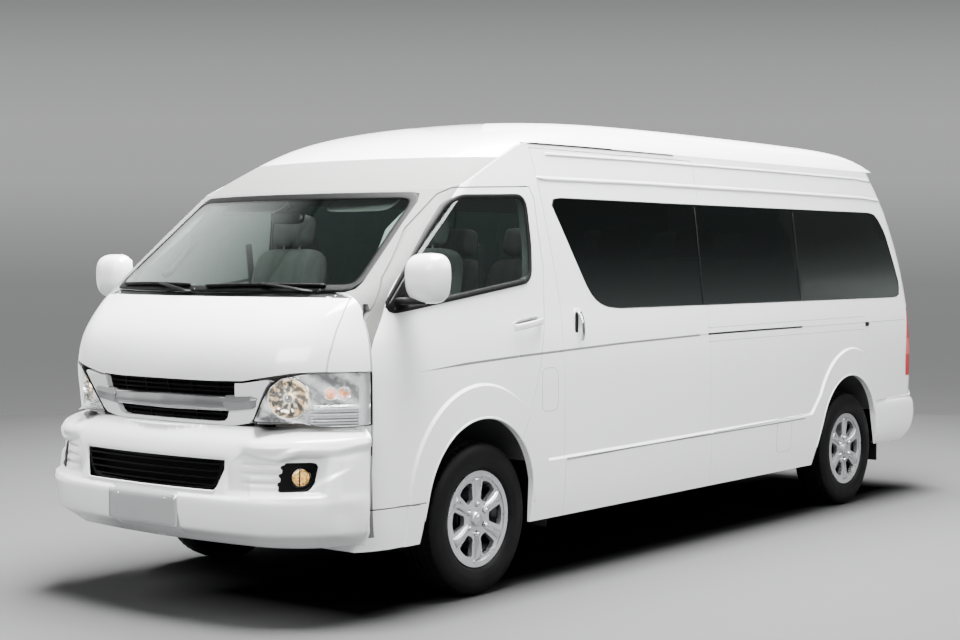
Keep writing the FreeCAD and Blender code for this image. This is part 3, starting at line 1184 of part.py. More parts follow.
def build_springs():
    """Leaf springs that pass under the axle tube, hung from the floor at both ends."""
    eye_z = AXLE_Z - AXLE_TUBE / 2 + SPRING_CAMBER
    low = AXLE_Z - AXLE_TUBE / 2 - FIT
    floor = FLOOR_TOP - FLOOR_THICKNESS - FIT
    leaves = []
    for side in (-1, 1):
        x = side * SPRING_X - SPRING_WIDTH / 2
        half = SPRING_LENGTH / 2
        top = Part.Arc(V(x, REAR_AXLE - half, eye_z), V(x, REAR_AXLE, low),
                       V(x, REAR_AXLE + half, eye_z)).toShape()
        under = Part.Arc(V(x, REAR_AXLE - half, eye_z - SPRING_THICKNESS / 3),
                         V(x, REAR_AXLE, low - SPRING_THICKNESS),
                         V(x, REAR_AXLE + half, eye_z - SPRING_THICKNESS / 3)).toShape()
        ends = [Part.makeLine(a.Vertexes[0].Point, b.Vertexes[0].Point) if k == 0 else
                Part.makeLine(a.Vertexes[-1].Point, b.Vertexes[-1].Point)
                for k, (a, b) in enumerate(((top, under), (top, under)))]
        leaf = Part.Face(Part.Wire([top, ends[1], under, ends[0]])).extrude(V(SPRING_WIDTH, 0, 0))
        hangers = [box(x, x + SPRING_WIDTH, REAR_AXLE + end * half - SPRING_THICKNESS / 2,
                       REAR_AXLE + end * half + SPRING_THICKNESS / 2, eye_z - SPRING_THICKNESS, floor)
                   for end in (-1, 1)]
        leaves.append(leaf.fuse(hangers))
    return leaves[0], leaves[1]


def turned(points, centre_x, y, z):
    """A ring about the wheel's axle from (offset, radius) corners."""
    corners = [V(centre_x + u, y, z + r) for u, r in points]
    face = Part.Face(Part.makePolygon(corners + corners[:1]))
    return face.revolve(V(centre_x, y, z), V(1, 0, 0), 360)


def build_tyre(y):
    seat = RIM_SEAT_DIAMETER / 2 + FIT
    height = TYRE_DIAMETER / 2 - seat
    points = [(u * TYRE_WIDTH, seat + h * height) for u, h in TYRE_PROFILE_shares]
    return turned(points, WHEEL_X, y, AXLE_Z)


def build_rim(y):
    """Left alloy wheel: flanged barrel, six-spoke disc with stud holes, hub flange behind it."""
    seat = RIM_SEAT_DIAMETER / 2
    flange = RIM_DIAMETER / 2
    half = RIM_WIDTH / 2
    drop = seat * RIM_DROP_share
    wall = RIM_BARREL_WALL
    lip = half - wall * 2
    barrel = turned([(-half, flange), (-half + wall, flange), (-half + wall, seat), (-lip + wall, seat),
                     (-lip / 2, drop), (lip / 3, drop), (lip * 2 / 3, seat), (half - wall, seat),
                     (half - wall, flange), (half, flange), (half, seat - wall), (lip * 2 / 3, seat - wall),
                     (lip / 3, drop - wall), (-lip / 2, drop - wall), (-lip + wall, seat - wall),
                     (-half, seat - wall)], WHEEL_X, y, AXLE_Z)
    face = WHEEL_OUTER_FACE - DISC_OFFSET
    u = face - WHEEL_X
    edge = half - wall
    disc = turned([(u - DISC_THICKNESS, 0), (u, 0), (u + RIM_CROWN / 2, STUD_CIRCLE / 2 + STUD_HOLE),
                   (u + RIM_CROWN, drop), (edge, seat - wall / 2), (edge - DISC_THICKNESS, seat - wall / 2),
                   (u - DISC_THICKNESS, drop - wall), (u - DISC_THICKNESS, STUD_CIRCLE / 2 + STUD_HOLE)],
                  WHEEL_X, y, AXLE_Z)
    window = spoke_window(y, seat)
    for k in range(SPOKE_COUNT):
        cut = window.copy()
        cut.rotate(V(WHEEL_X, y, AXLE_Z), V(1, 0, 0), (k + 0.5) * 360 / SPOKE_COUNT)
        disc = disc.cut(cut)
        turn = 2 * math.pi * k / SPOKE_COUNT
        at = V(0, y + STUD_CIRCLE / 2 * math.sin(turn), AXLE_Z + STUD_CIRCLE / 2 * math.cos(turn))
        hole = rod(at, at + V(WIDTH, 0, 0), STUD_HOLE / 2)
        disc = disc.cut(hole)
    rear = hub_face()
    hub = rod(V(rear - DISC_THICKNESS, y, AXLE_Z), V(rear, y, AXLE_Z), STUD_CIRCLE / 2 + STUD_HOLE)
    cap = rod(V(face - DISC_THICKNESS, y, AXLE_Z), V(face + RIM_CROWN, y, AXLE_Z), HUB_BORE / 3)
    return barrel.fuse([disc, hub, cap])


def spoke_window(y, seat):
    """One rounded window between two spokes."""
    inner, outer = seat * WINDOW_INNER_share, seat * WINDOW_OUTER_share
    a, b = math.radians(WINDOW_ROOT_ANGLE), math.radians(WINDOW_ANGLE)
    start = V(WHEEL_X - RIM_WIDTH / 2, y, AXLE_Z)
    def at(radius, turn):
        return start + V(0, radius * math.sin(turn), radius * math.cos(turn))
    edges = [Part.makeLine(at(inner, -a), at(outer, -b)),
             Part.Arc(at(outer, -b), at(outer + WINDOW_BULGE, 0), at(outer, b)).toShape(),
             Part.makeLine(at(outer, b), at(inner, a)),
             Part.Arc(at(inner, a), at(inner - WINDOW_BULGE, 0), at(inner, -a)).toShape()]
    block = Part.Face(Part.Wire(edges)).extrude(V(RIM_WIDTH * 2, 0, 0))
    along = [e for e in block.Edges
             if abs(e.BoundBox.XLength - RIM_WIDTH * 2) < FIT and e.BoundBox.ZLength < FIT]
    return block.makeFillet(WINDOW_ROUND, along)


def build_tank():
    """Fuel tank and silencer hang under the floor on opposite sides."""
    top = FLOOR_TOP - FLOOR_THICKNESS - FIT
    y = FRONT_AXLE + TANK_share * WHEELBASE
    x = RAIL_X + RAIL_WIDTH
    tank = rounded_box(x, x + TANK_WIDTH * 3 / 4, y, y + TANK_LENGTH, top - TANK_HEIGHT, top, SEAT_ROUND)
    return tank


def build_exhaust():
    y0 = engine_front() + ENGINE_LENGTH / 2
    x = -(RAIL_X + RAIL_WIDTH + SILENCER_DIAMETER)
    z = FLOOR_TOP - FLOOR_THICKNESS - SILENCER_DIAMETER / 2 - FIT
    y1 = FRONT_AXLE + TANK_share * WHEELBASE
    radius = EXHAUST_DIAMETER / 2
    end = REAR_AXLE - WHEELBASE / 5
    port = V(-ENGINE_WIDTH / 2 - FIT, y0, ENGINE_BOTTOM + EXHAUST_DIAMETER)
    down = port - V(EXHAUST_DIAMETER, 0, 0)
    knee = V(down.x, y0 + SILENCER_LENGTH, ENGINE_BOTTOM + EXHAUST_DIAMETER / 2)
    entry = V(x, y1, z)
    pipes = [rod(port, down, radius), Part.makeSphere(radius, down), rod(down, knee, radius),
             Part.makeSphere(radius, knee), rod(knee, entry, radius),
             rod(entry, entry + V(0, SILENCER_LENGTH, 0), SILENCER_DIAMETER / 2),
             rod(entry, V(x, end, z), radius), Part.makeSphere(radius, V(x, end, z)),
             rod(V(x, end, z), V(-HALF_WIDTH + WALL * 2, end + SILENCER_LENGTH / 3, z - radius), radius)]
    return pipes[0].fuse(pipes[1:])


def build_prop_shaft():
    start = V(0, engine_front() + ENGINE_LENGTH + FIT * 4, ENGINE_BOTTOM + ENGINE_HEIGHT / 4)
    end = V(0, REAR_AXLE - DIFF_DIAMETER * 4 / 5 - FIT, AXLE_Z)
    return rod(start, end, SHAFT_DIAMETER / 2)


def build_mudflaps():
    """Hanging flaps behind the rear wheels, from the well's rear edge."""
    y = REAR_AXLE + MUDFLAP_share * WHEELBASE
    flap = box(HALF_WIDTH - WALL - FLAP_WIDTH, HALF_WIDTH - WALL, y, y + FLAP_THICKNESS,
               MUDFLAP_BOTTOM, MUDFLAP_BOTTOM + FLAP_HEIGHT)
    seat = sectioned_solid(REAR_BUMPER_shares, -FIT)
    seat = seat.cut(sectioned_solid(REAR_BUMPER_shares, BUMPER_WALL + FIT))
    return flap.cut(seat)


def build_radiator():
    """Cooling pack in the bay, with the side plates that carry bumper and lamps."""
    wall = nose_rear() - FIT
    front = wall - RADIATOR_AHEAD
    core = centred_box(RADIATOR_HALF_WIDTH, front, front + SILENCER_DIAMETER / 2,
                       RADIATOR_BOTTOM, RADIATOR_TOP)
    plates = []
    for side in (-1, 1):
        x = side * (RADIATOR_HALF_WIDTH + WALL)
        plates.append(box(x - WALL, x + WALL, front, wall, RADIATOR_BOTTOM, RADIATOR_TOP))
    return fused([core] + plates)


def build():
    parts = build_body_parts()
    parts["roof_cap"] = build_roof()
    parts["front_bumper"] = build_front_bumper()
    parts["lower_grille"] = build_lower_grille()
    fog = build_fog_lamp()
    parts["fog_lamps"] = Part.Compound([fog, mirrored(fog)])
    mirror = build_mirror()
    parts["mirror_left"] = mirror
    parts["mirror_right"] = mirrored(mirror)
    parts["floor"] = build_floor()
    parts["dashboard"] = build_dashboard()
    parts["steering_wheel"] = build_steering_wheel()
    parts["front_seats"] = Part.Compound(build_front_seat(1) + build_front_seat(-1))
    rows = []
    for k in range(REAR_ROW_COUNT):
        rows += build_seat_row(k)
    parts["rear_seats"] = Part.Compound(rows)
    parts["engine_block"] = build_engine()
    parts["chassis_rails"] = build_rails()
    parts["front_beam"] = build_front_beam()
    parts["rear_axle"] = Part.Compound([build_rear_axle(), build_prop_shaft()] + list(build_springs()))
    parts["fuel_tank"] = build_tank()
    parts["exhaust"] = build_exhaust()
    parts["radiator"] = build_radiator()
    flap = build_mudflaps()
    parts["mudflaps"] = Part.Compound([flap, mirrored(flap)])
    knuckle = build_knuckle()
    parts["knuckle_left"] = knuckle
    parts["knuckle_right"] = mirrored(knuckle)
    for place, y in (("front", FRONT_AXLE), ("rear", REAR_AXLE)):
        rim, tyre = build_rim(y), build_tyre(y)
        parts["rim_" + place + "_left"] = rim
        parts["rim_" + place + "_right"] = mirrored(rim)
        parts["tyre_" + place + "_left"] = tyre
        parts["tyre_" + place + "_right"] = mirrored(tyre)
    return parts


if __name__ == "__main__":
    os.makedirs("parts", exist_ok=True)
    for name, shape in sorted(build().items()):
        shape.exportStep("parts/" + name + ".step")
        print(name, len(shape.Solids), shape.isValid(), round(shape.Volume / 1e6, 2))
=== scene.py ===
"""Looks of a long high-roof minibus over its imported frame. Metres; +X its left, +Y its rear, +Z up."""
import math

import bmesh
import bpy
import numpy as np
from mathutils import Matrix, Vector
from mathutils.bvhtree import BVHTree


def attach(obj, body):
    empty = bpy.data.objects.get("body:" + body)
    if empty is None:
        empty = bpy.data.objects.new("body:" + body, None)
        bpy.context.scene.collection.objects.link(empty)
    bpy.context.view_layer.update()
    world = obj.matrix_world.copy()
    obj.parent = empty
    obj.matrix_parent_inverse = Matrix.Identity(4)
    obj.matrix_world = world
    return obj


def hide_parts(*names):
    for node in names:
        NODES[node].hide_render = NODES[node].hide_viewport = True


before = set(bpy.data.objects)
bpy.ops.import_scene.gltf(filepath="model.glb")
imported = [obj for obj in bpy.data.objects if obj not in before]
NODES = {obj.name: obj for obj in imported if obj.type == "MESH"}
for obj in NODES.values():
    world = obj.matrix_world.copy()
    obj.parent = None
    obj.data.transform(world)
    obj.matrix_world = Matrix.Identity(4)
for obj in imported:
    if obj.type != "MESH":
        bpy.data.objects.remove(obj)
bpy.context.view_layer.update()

LENS = 63.3
CAMERA_PLACE = (5.658, -7.795, 1.532)
CAMERA_TILT, CAMERA_TURN = 88.0, 38.37
AXLE_Z = 0.3535
# How far a strip's edges sink under the skin, and the way off the windscreen's glass
SINK = 0.002
OFF_GLASS = (0, -0.6, 0.8)
FRONT_AXLE, REAR_AXLE = -1.775, 1.945
WHEEL_X = 0.7945
TYRE_R, TYRE_HALF = 0.3535, 0.1025
# Radius of a tyre's bead seat, offset of a rim's face from the wheel's middle, and radius of the nuts' circle
BEAD_R, RIM_FACE, NUT_R = 0.2034, 0.0725, 0.06985
HANDS = (("left", 1), ("right", -1))
# The frame's three ways: to the vehicle's left, rear and top
X, Y, Z = np.eye(3)


# Meshes and skins
def linked(name, data):
    """An object with its data, in the scene."""
    obj = bpy.data.objects.new(name, data)
    bpy.context.scene.collection.objects.link(obj)
    return obj


def mesh_of(name, points, faces):
    """A mesh object from arrays of points and faces."""
    mesh = bpy.data.meshes.new(name)
    mesh.from_pydata(np.asarray(points, float).reshape(-1, 3).tolist(), [], faces)
    mesh.update()
    return linked(name, mesh)


def grid_faces(n, m, wrap_n=False, wrap_m=False, start=0):
    """Quads over an n by m grid of points, numbered from start; either way may close on itself."""
    i = np.arange(n if wrap_n else n - 1)[:, None]
    j = np.arange(m if wrap_m else m - 1)[None, :]
    a = i * m + j
    b = ((i + 1) % n) * m + j
    c = ((i + 1) % n) * m + (j + 1) % m
    d = i * m + (j + 1) % m
    return (np.stack([a, b, c, d], -1).reshape(-1, 4) + start).tolist()


def dressed(obj, material, body="body", slot="", smooth=True, wall=0.0, round_edge=0.0):
    """Gives a piece its finish, its thickness and the body that it rides on."""
    obj.data.materials.append(material)
    if smooth:
        obj.data.polygons.foreach_set("use_smooth", [True] * len(obj.data.polygons))
    if wall:
        mod = obj.modifiers.new("wall", "SOLIDIFY")
        mod.thickness, mod.offset = wall, -1
    if round_edge:
        mod = obj.modifiers.new("edge", "BEVEL")
        mod.width, mod.segments, mod.limit_method = round_edge, 2, "ANGLE"
    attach(obj, body)
    return obj


def cleaned(obj, closed=True):
    """A closed mesh has its faces turned outwards; an open one loses the points that no face uses."""
    work = bmesh.new()
    work.from_mesh(obj.data)
    if closed:
        bmesh.ops.remove_doubles(work, verts=work.verts, dist=1e-6)
        bmesh.ops.recalc_face_normals(work, faces=work.faces)
    else:
        bmesh.ops.delete(work, geom=[v for v in work.verts if not v.link_faces], context="VERTS")
    work.to_mesh(obj.data)
    work.free()
    return obj


def facing(obj, way):
    """Turns the faces of an open sheet towards way, by the sum of their normals weighed by area."""
    faces = obj.data.polygons
    normals, areas = np.zeros(len(faces) * 3), np.zeros(len(faces))
    faces.foreach_get("normal", normals)
    faces.foreach_get("area", areas)
    if (normals.reshape(-1, 3) * areas[:, None]).sum(0) @ np.asarray(way, float) < 0:
        obj.data.flip_normals()
    return obj


def sheet(name, grid, way, rings=False):
    """An open sheet over a grid that faces towards way; rings close on themselves."""
    return facing(mesh_of(name, grid, grid_faces(*grid.shape[:2], False, rings)), way)


def solid(name, grids, material, body="body", slot="", closed=False, **looks):
    """One dressed piece from a grid of rings or a list of them; closed joins the last ring to the first."""
    points, faces, start = [], [], 0
    for grid in grids if isinstance(grids, list) else [grids]:
        n, m = grid.shape[:2]
        faces += grid_faces(n, m, closed, True, start)
        points.append(grid.reshape(-1, 3))
        start += n * m
    obj = cleaned(mesh_of(name, np.concatenate(points), faces))
    return dressed(obj, material, body, slot, **looks)


def capped(grid):
    """Closes both ends of a tube grid by drawing its first and last rings in to their middles."""
    first = np.repeat(grid[:1].mean(1, keepdims=True), grid.shape[1], 1)
    last = np.repeat(grid[-1:].mean(1, keepdims=True), grid.shape[1], 1)
    return np.concatenate([first, grid, last])


def unit(vectors):
    """The same ways with length one."""
    return vectors / np.linalg.norm(vectors, axis=-1, keepdims=True)


def run_of(line, closed):
    """The way in which a line runs at each of its points."""
    return unit(np.roll(line, -1, 0) - np.roll(line, 1, 0) if closed else np.gradient(line, axis=0))


def fan(line, middle, low, high, rings):
    """Rings that shrink a closed flat line towards a middle, from one share of its size to another."""
    flat = middle + (line[None] - middle) * np.linspace(low, high, rings)[:, None, None]
    return flat[..., 0], flat[..., 1]


def swept(path, profile, up, closed=False):
    """A profile (across, up) carried along a path: across is square to the path and to up."""
    run = run_of(path, closed)
    up = np.broadcast_to(np.asarray(up, float), path.shape)
    across = np.cross(run, up)
    across /= np.linalg.norm(across, axis=1, keepdims=True) + 1e-12
    high = np.cross(across, run)
    profile = np.asarray(profile, float)
    return (path[:, None] + across[:, None] * profile[None, :, :1] + high[:, None] * profile[None, :, 1:])


def circle(radius, count=10):
    """A ring of points in a plane."""
    a = np.arange(count) * 2 * np.pi / count
    return np.stack([radius * np.cos(a), radius * np.sin(a)], -1)


def signed_power(value, power):
    """A power of the size that keeps the sign."""
    return np.sign(value) * abs(value) ** power


def slab(width, height, round_share=0.3):
    """A flat bar's section: a superellipse with soft corners."""
    a = np.arange(16) * 2 * np.pi / 16
    return np.stack([width / 2 * signed_power(np.cos(a), round_share),
                     height / 2 * signed_power(np.sin(a), round_share)], -1)


def bar(name, path, profile, up, material, body="body", slot=""):
    """A profile carried along a path, with both ends closed, as one dressed piece."""
    return solid(name, capped(swept(path, profile, up)), material, body, slot)


def lathe(profile, count, x, y, z, side=1):
    """(offset along X, radius) points turned about an axis along X."""
    profile = np.asarray(profile, float)
    a = np.arange(count) * 2 * np.pi / count
    return np.stack([x + side * profile[:, :1] + 0 * a, y + profile[:, 1:] * np.sin(a),
                     z + profile[:, 1:] * np.cos(a)], -1)


def pillow(centre, u, v, w, half_u, half_v, crown, power=4.0, rings=8, count=48, base=0.0):
    """A closed pad over a flat back, which lies base behind the centre.

    Its rings are superellipses |a|^p + |b|^p = 1 that rise by crown * sqrt(1 - r^4)."""
    a = np.arange(count) * 2 * np.pi / count
    scale = (abs(np.cos(a)) ** power + abs(np.sin(a)) ** power) ** (-1 / power)
    r = np.sin(np.linspace(0, np.pi / 2, rings))[:, None]
    high = crown * np.sqrt(np.clip(1 - r ** 4, 0, 1))
    x, y = r * scale * np.cos(a) * half_u, r * scale * np.sin(a) * half_v
    u, v, w = (np.asarray(k, float) for k in (u, v, w))
    flat = centre + x[..., None] * u + y[..., None] * v
    return np.concatenate([flat + (high + 0 * x)[..., None] * w, (flat - base * w)[::-1]])


def tree_of(*names):
    """A search tree over the triangles of CAD nodes."""
    points, faces, start = [], [], 0
    for name in names:
        mesh = NODES[name].data
        co = np.zeros(len(mesh.vertices) * 3, np.float32)
        mesh.vertices.foreach_get("co", co)
        mesh.calc_loop_triangles()
        tri = np.zeros(len(mesh.loop_triangles) * 3, np.int32)
        mesh.loop_triangles.foreach_get("vertices", tri)
        points.append(co.reshape(-1, 3))
        faces.append(tri.reshape(-1, 3) + start)
        start += len(co) // 3
    return BVHTree.FromPolygons(np.concatenate(points).tolist(), np.concatenate(faces).tolist())


# What a ray from the side and one from an end may meet
SIDE = tree_of("body_shell", "sliding_door", "front_door_left", "side_glass", "door_glass_left", "roof_cap",
               "front_bumper", "rear_bumper", "headlamps")
ENDS = tree_of("body_shell", "bonnet", "windscreen", "grille_panel", "front_bumper", "rear_bumper",
               "tailgate", "tailgate_glass", "roof_cap")


def bridged(values, shape):
    """An array of measures in which straight lines bridge what is missing."""
    found = np.array(values, float)
    good = ~np.isnan(found)
    index = np.arange(len(found))
    return np.interp(index, index[good], found[good]).reshape(shape)


def on_side(y, z, side=1, lift=0.0):
    """Points on the outer skin at arrays of y and z, met from the left or right."""
    y, z = np.broadcast_arrays(np.asarray(y, float), np.asarray(z, float))
    hits = [SIDE.ray_cast(Vector((2.0, a, b)), Vector((-1, 0, 0)))[0] for a, b in zip(y.ravel(), z.ravel())]
    x = bridged([h.x if h else np.nan for h in hits], y.shape)
    return np.stack([side * (x + lift), y, z], -1)


def on_end(x, z, rear=False):
    """Points on the outer skin at arrays of x and z, met from the front or rear."""
    x, z = np.broadcast_arrays(np.asarray(x, float), np.asarray(z, float))
    far, way = (4.0, -1) if rear else (-4.0, 1)
    hits = [ENDS.ray_cast(Vector((a, far, b)), Vector((0, way, 0)))[0] for a, b in zip(x.ravel(), z.ravel())]
    y = bridged([h.y if h else np.nan for h in hits], x.shape)
    return np.stack([x, y, z], -1)


def resampled(points, step, closed=False):
    """The same broken line with points every step, its corners softened by one pass of averaging."""
    p = np.asarray(points, float)
    if closed:
        p = np.concatenate([p, p[:1]])
    d = np.concatenate([[0], np.cumsum(np.linalg.norm(np.diff(p, axis=0), axis=1))])
    count = max(int(d[-1] / step), 4)
    s = np.linspace(0, d[-1], count + 1)
    q = np.stack([np.interp(s, d, p[:, k]) for k in range(p.shape[1])], -1)
    if closed:
        q = q[:-1]
        return (np.roll(q, 1, 0) + 2 * q + np.roll(q, -1, 0)) / 4
    q[1:-1] = (q[:-2] + 2 * q[1:-1] + q[2:]) / 4
    return q


def strip_rows(line, half, closed):
    """Five lines side by side along a line in two coordinates, and how far across each one lies."""
    run = run_of(line, closed)
    t = np.linspace(-1, 1, 5)
    return line[:, :1] - run[:, 1:] * t * half, line[:, 1:] + run[:, :1] * t * half, t


def strip_form(skin, t, high, way, closed):
    """A low half-round strip over rows of skin points, its edges and back sunk a little under the skin."""
    lift = (high + SINK) * np.sqrt(np.clip(1 - t ** 4, 0, 1)) - SINK
    ring = np.concatenate([skin + lift[:, None] * way, (skin - 2 * SINK * way)[:, ::-1]], 1)
    return ring if closed else capped(ring)


def side_strip(name, side, yz, half, high, material, body="body", closed=False, step=0.03, taper=0.0,
               slot=""):
    """A low strip that follows the side skin along a line in y and z. It widens over its taper's length."""
    line = resampled(yz, step, closed)
    if taper:
        half = half * np.clip(np.arange(len(line)) * step / taper, 0.12, 1)[:, None]
    y, z, t = strip_rows(line, half, closed)
    form = strip_form(on_side(y, z), t, high, X, closed) * [side, 1, 1]
    return solid(name, form, material, body, slot, closed)


# Finishes
class Value:
    """A socket with arithmetic: each operator adds one Math node."""

    def __init__(self, tree, socket):
        self.tree, self.socket = tree, socket

    def math(self, kind, *others):
        """The result of a Math node of this kind on the socket and any other values."""
        node = self.tree.nodes.new("ShaderNodeMath")
        node.operation = kind
        for i, value in enumerate((self,) + others):
            if isinstance(value, Value):
                self.tree.links.new(value.socket, node.inputs[i])
            else:
                node.inputs[i].default_value = value
        return Value(self.tree, node.outputs[0])

    def __add__(self, o):
        return self.math("ADD", o)

    def __sub__(self, o):
        return self.math("SUBTRACT", o)

    def __mul__(self, o):
        return self.math("MULTIPLY", o)

    def __rsub__(self, o):
        return self.math("MULTIPLY", -1.0).math("ADD", o)

    __radd__, __rmul__ = __add__, __mul__

    def above(self, o):
        return self.math("GREATER_THAN", o)

    def below(self, o):
        return self.math("LESS_THAN", o)

    def ramp(self, low, high):
        """Nought below low, one above high and a straight line between."""
        return (self - low).math("MULTIPLY", 1 / (high - low)).math("MINIMUM", 1.0).math("MAXIMUM", 0.0)


class Finish:
    """One material: a principled shader and the nodes that feed it."""

    def __init__(self, name, color, rough=0.5, **sockets):
        self.material = bpy.data.materials.new(name)
        self.material.use_nodes = True
        self.tree = self.material.node_tree
        self.shader = self.tree.nodes["Principled BSDF"]
        self.output = self.tree.nodes["Material Output"]
        self.shader.inputs["Base Color"].default_value = (*color, 1)
        self.shader.inputs["Roughness"].default_value = rough
        for key, value in sockets.items():
            self.shader.inputs[key.replace("_", " ")].default_value = value
        self.material.diffuse_color = (*color, 1)

    def node(self, kind, settings=None, stops=None, **inputs):
        """A node of any type: its settings first, then its sockets by name or number."""
        node = self.tree.nodes.new("ShaderNode" + kind)
        for key, value in (settings or {}).items():
            setattr(node, key, value)
        if stops:
            ramp = node.color_ramp
            ramp.elements[0].position, ramp.elements[0].color = stops[0][0], (*stops[0][1], 1)
            ramp.elements[1].position, ramp.elements[1].color = stops[-1][0], (*stops[-1][1], 1)
            for place, color in stops[1:-1]:
                ramp.elements.new(place).color = (*color, 1)
        for key, value in inputs.items():
            socket = node.inputs[int(key[1:])] if key[0] == "_" else node.inputs[key.replace("_", " ")]
            if isinstance(value, Value):
                self.tree.links.new(value.socket, socket)
            else:
                socket.default_value = value
        return node

    def out(self, node, which=0):
        return Value(self.tree, node.outputs[which])

    def place(self):
        """Object coordinates, and their three parts."""
        coordinates = self.node("TexCoord")
        vector = self.out(coordinates, "Object")
        parts = self.node("SeparateXYZ", _0=vector)
        return vector, [self.out(parts, k) for k in range(3)]

    def noise(self, scale, detail=3.0, vector=None):
        vector = vector or self.place()[0]
        return self.out(self.node("TexNoise", Vector=vector, Scale=scale, Detail=detail), 0)

    def feed(self, socket, value):
        self.tree.links.new(value.socket, self.shader.inputs[socket])
        return self

    def bump(self, height, strength, distance):
        node = self.node("Bump", Strength=strength, Distance=distance, Height=height)
        return self.feed("Normal", self.out(node))

    def mixed(self, factor, one, two):
        """A colour that goes from one to two with a factor."""
        node = self.node("Mix", {"data_type": "RGBA"}, _0=factor)
        for k, color in ((6, one), (7, two)):
            if isinstance(color, Value):
                self.tree.links.new(color.socket, node.inputs[k])
            else:
                node.inputs[k].default_value = (*color, 1)
        return self.out(node, 2)

    def varied(self, color, scale=6.0, share=0.12):
        """The base colour, a little darker and lighter in soft patches."""
        factor = self.noise(scale)
        dark = tuple(c * (1 - share) for c in color)
        light = tuple(min(c * (1 + share), 1) for c in color)
        return self.feed("Base Color", self.mixed(factor, dark, light))


def grained(name, color, rough, scale=900.0, strength=0.25, share=0.12, **sockets):
    """Moulded plastic or rubber: soft colour patches under a fine grain."""
    finish = Finish(name, color, rough, **sockets).varied(color, 5.0, share)
    finish.bump(finish.noise(scale, 2.0), strength, 0.0004)
    rough_patch = finish.noise(14.0) * 0.14 + (rough - 0.07)
    finish.feed("Roughness", rough_patch)
    return finish.material


def see_through(name, tint, gloss_color, base_gloss, low_gloss=0.0):
    """Glass as a thin sheet: a tinted transparent shader under a mirror of strength 0.04 + 0.9 * (1 - cos)^5.

    Printed glass has a denser print of dots at its foot: low_gloss is added there and fades upwards."""
    finish = Finish(name, gloss_color, 0.02, Metallic=1.0)
    finish.feed("Roughness", finish.noise(3.0, 1.0) * 0.02 + 0.01)
    clear = finish.node("BsdfTransparent", Color=(*tint, 1))
    slant = finish.out(finish.node("LayerWeight", Blend=0.5), 1)
    factor = slant.math("POWER", 5.0) * 0.9 + (base_gloss + 0.04)
    if low_gloss:
        fade = 1 - finish.place()[1][2].ramp(1.29, 1.72)
        factor = fade * fade * low_gloss + factor
    factor = factor.math("MINIMUM", 1.0)
    mix = finish.node("MixShader", _0=factor)
    finish.tree.links.new(clear.outputs[0], mix.inputs[1])
    finish.tree.links.new(finish.shader.outputs[0], mix.inputs[2])
    finish.tree.links.new(mix.outputs[0], finish.output.inputs[0])
    return finish.material


def body_paint():
    """White enamel outside, grey trim inside the cabin, and near-black painted shade in the wheel housings
    and underneath.

    The cabin is where |x| is under a parabola through the side walls' middle. A housing is within a
    fixed distance of an axle and behind the side skin."""
    finish = Finish("body_paint", (0.84, 0.845, 0.85), 0.2, Coat_Weight=1.0, Coat_Roughness=0.03,
                    Specular_IOR_Level=0.45)
    x, y, z = finish.place()[1]
    wide = z - 0.85
    limit = 0.905 - wide * wide * 0.075
    across = x.math("ABSOLUTE")
    within = across.below(limit)
    mask = within * z.above(0.36) * y.above(-2.52) * (y + (z - 1.0) * 0.27).below(2.74) * z.below(2.02)
    housing = across.below(0.884) * z.below(0.93)
    near = 0.0
    for axle in (FRONT_AXLE, REAR_AXLE):
        run, rise = y - axle, z - AXLE_Z
        near = (run * run + rise * rise).below(0.565 ** 2) + near
    housing = (housing * near).math("MINIMUM", 1.0)
    under = across.below(0.86) * z.below(0.56) * y.above(-2.50) * y.below(2.80)
    # Near black where the housings and the underside lie in shade: painted shade.
    dark = housing.math("MAXIMUM", under)
    haze = finish.noise(1.3, 2.0)
    white = finish.mixed(haze, (0.80, 0.805, 0.815), (0.86, 0.865, 0.868))
    trim = finish.mixed(finish.noise(60.0), (0.11, 0.11, 0.107), (0.14, 0.14, 0.136))
    painted_shade_black = finish.mixed(finish.noise(20.0), (0.003, 0.003, 0.003), (0.009, 0.009, 0.009))
    finish.feed("Base Color", finish.mixed(dark, finish.mixed(mask, white, trim), painted_shade_black))
    plain = mask.math("MAXIMUM", dark)
    finish.feed("Coat Weight", 1 - plain)
    finish.feed("Roughness", plain * 0.5 + 0.22 + haze * 0.03)
    return finish.bump(finish.noise(260.0, 1.0), 0.02, 0.0003).material


def tyre_rubber():
    """Black rubber with a little dust in soft patches and a fine grain."""
    finish = Finish("tyre_rubber", (0.004, 0.004, 0.004), 0.62, Specular_IOR_Level=0.12)
    dust = finish.noise(9.0).ramp(0.42, 0.8)
    finish.feed("Base Color", finish.mixed(dust, (0.002, 0.002, 0.0022), (0.007, 0.0068, 0.0065)))
    finish.feed("Roughness", dust * 0.2 + 0.5)
    return finish.bump(finish.noise(420.0, 2.0), 0.12, 0.0006).material


def alloy():
    """Silver lacquer with a trace of cast grain; the barrel behind the spokes is painted near black as
    painted shade.
    """
    finish = Finish("alloy_silver", (0.62, 0.625, 0.64), 0.28, Metallic=0.85, Coat_Weight=0.7,
                    Coat_Roughness=0.08)
    patch = finish.noise(7.0)
    face = finish.mixed(patch, (0.50, 0.505, 0.52), (0.62, 0.625, 0.64))
    # Inward of |x| 0.842 the barrel turns near black: painted shade behind the spokes.
    deep = finish.place()[1][0].math("ABSOLUTE").below(0.842)
    finish.feed("Base Color", finish.mixed(deep, face, (0.02, 0.02, 0.021)))
    finish.feed("Roughness", patch * 0.12 + 0.22)
    return finish.bump(finish.noise(800.0, 1.0), 0.05, 0.0003).material


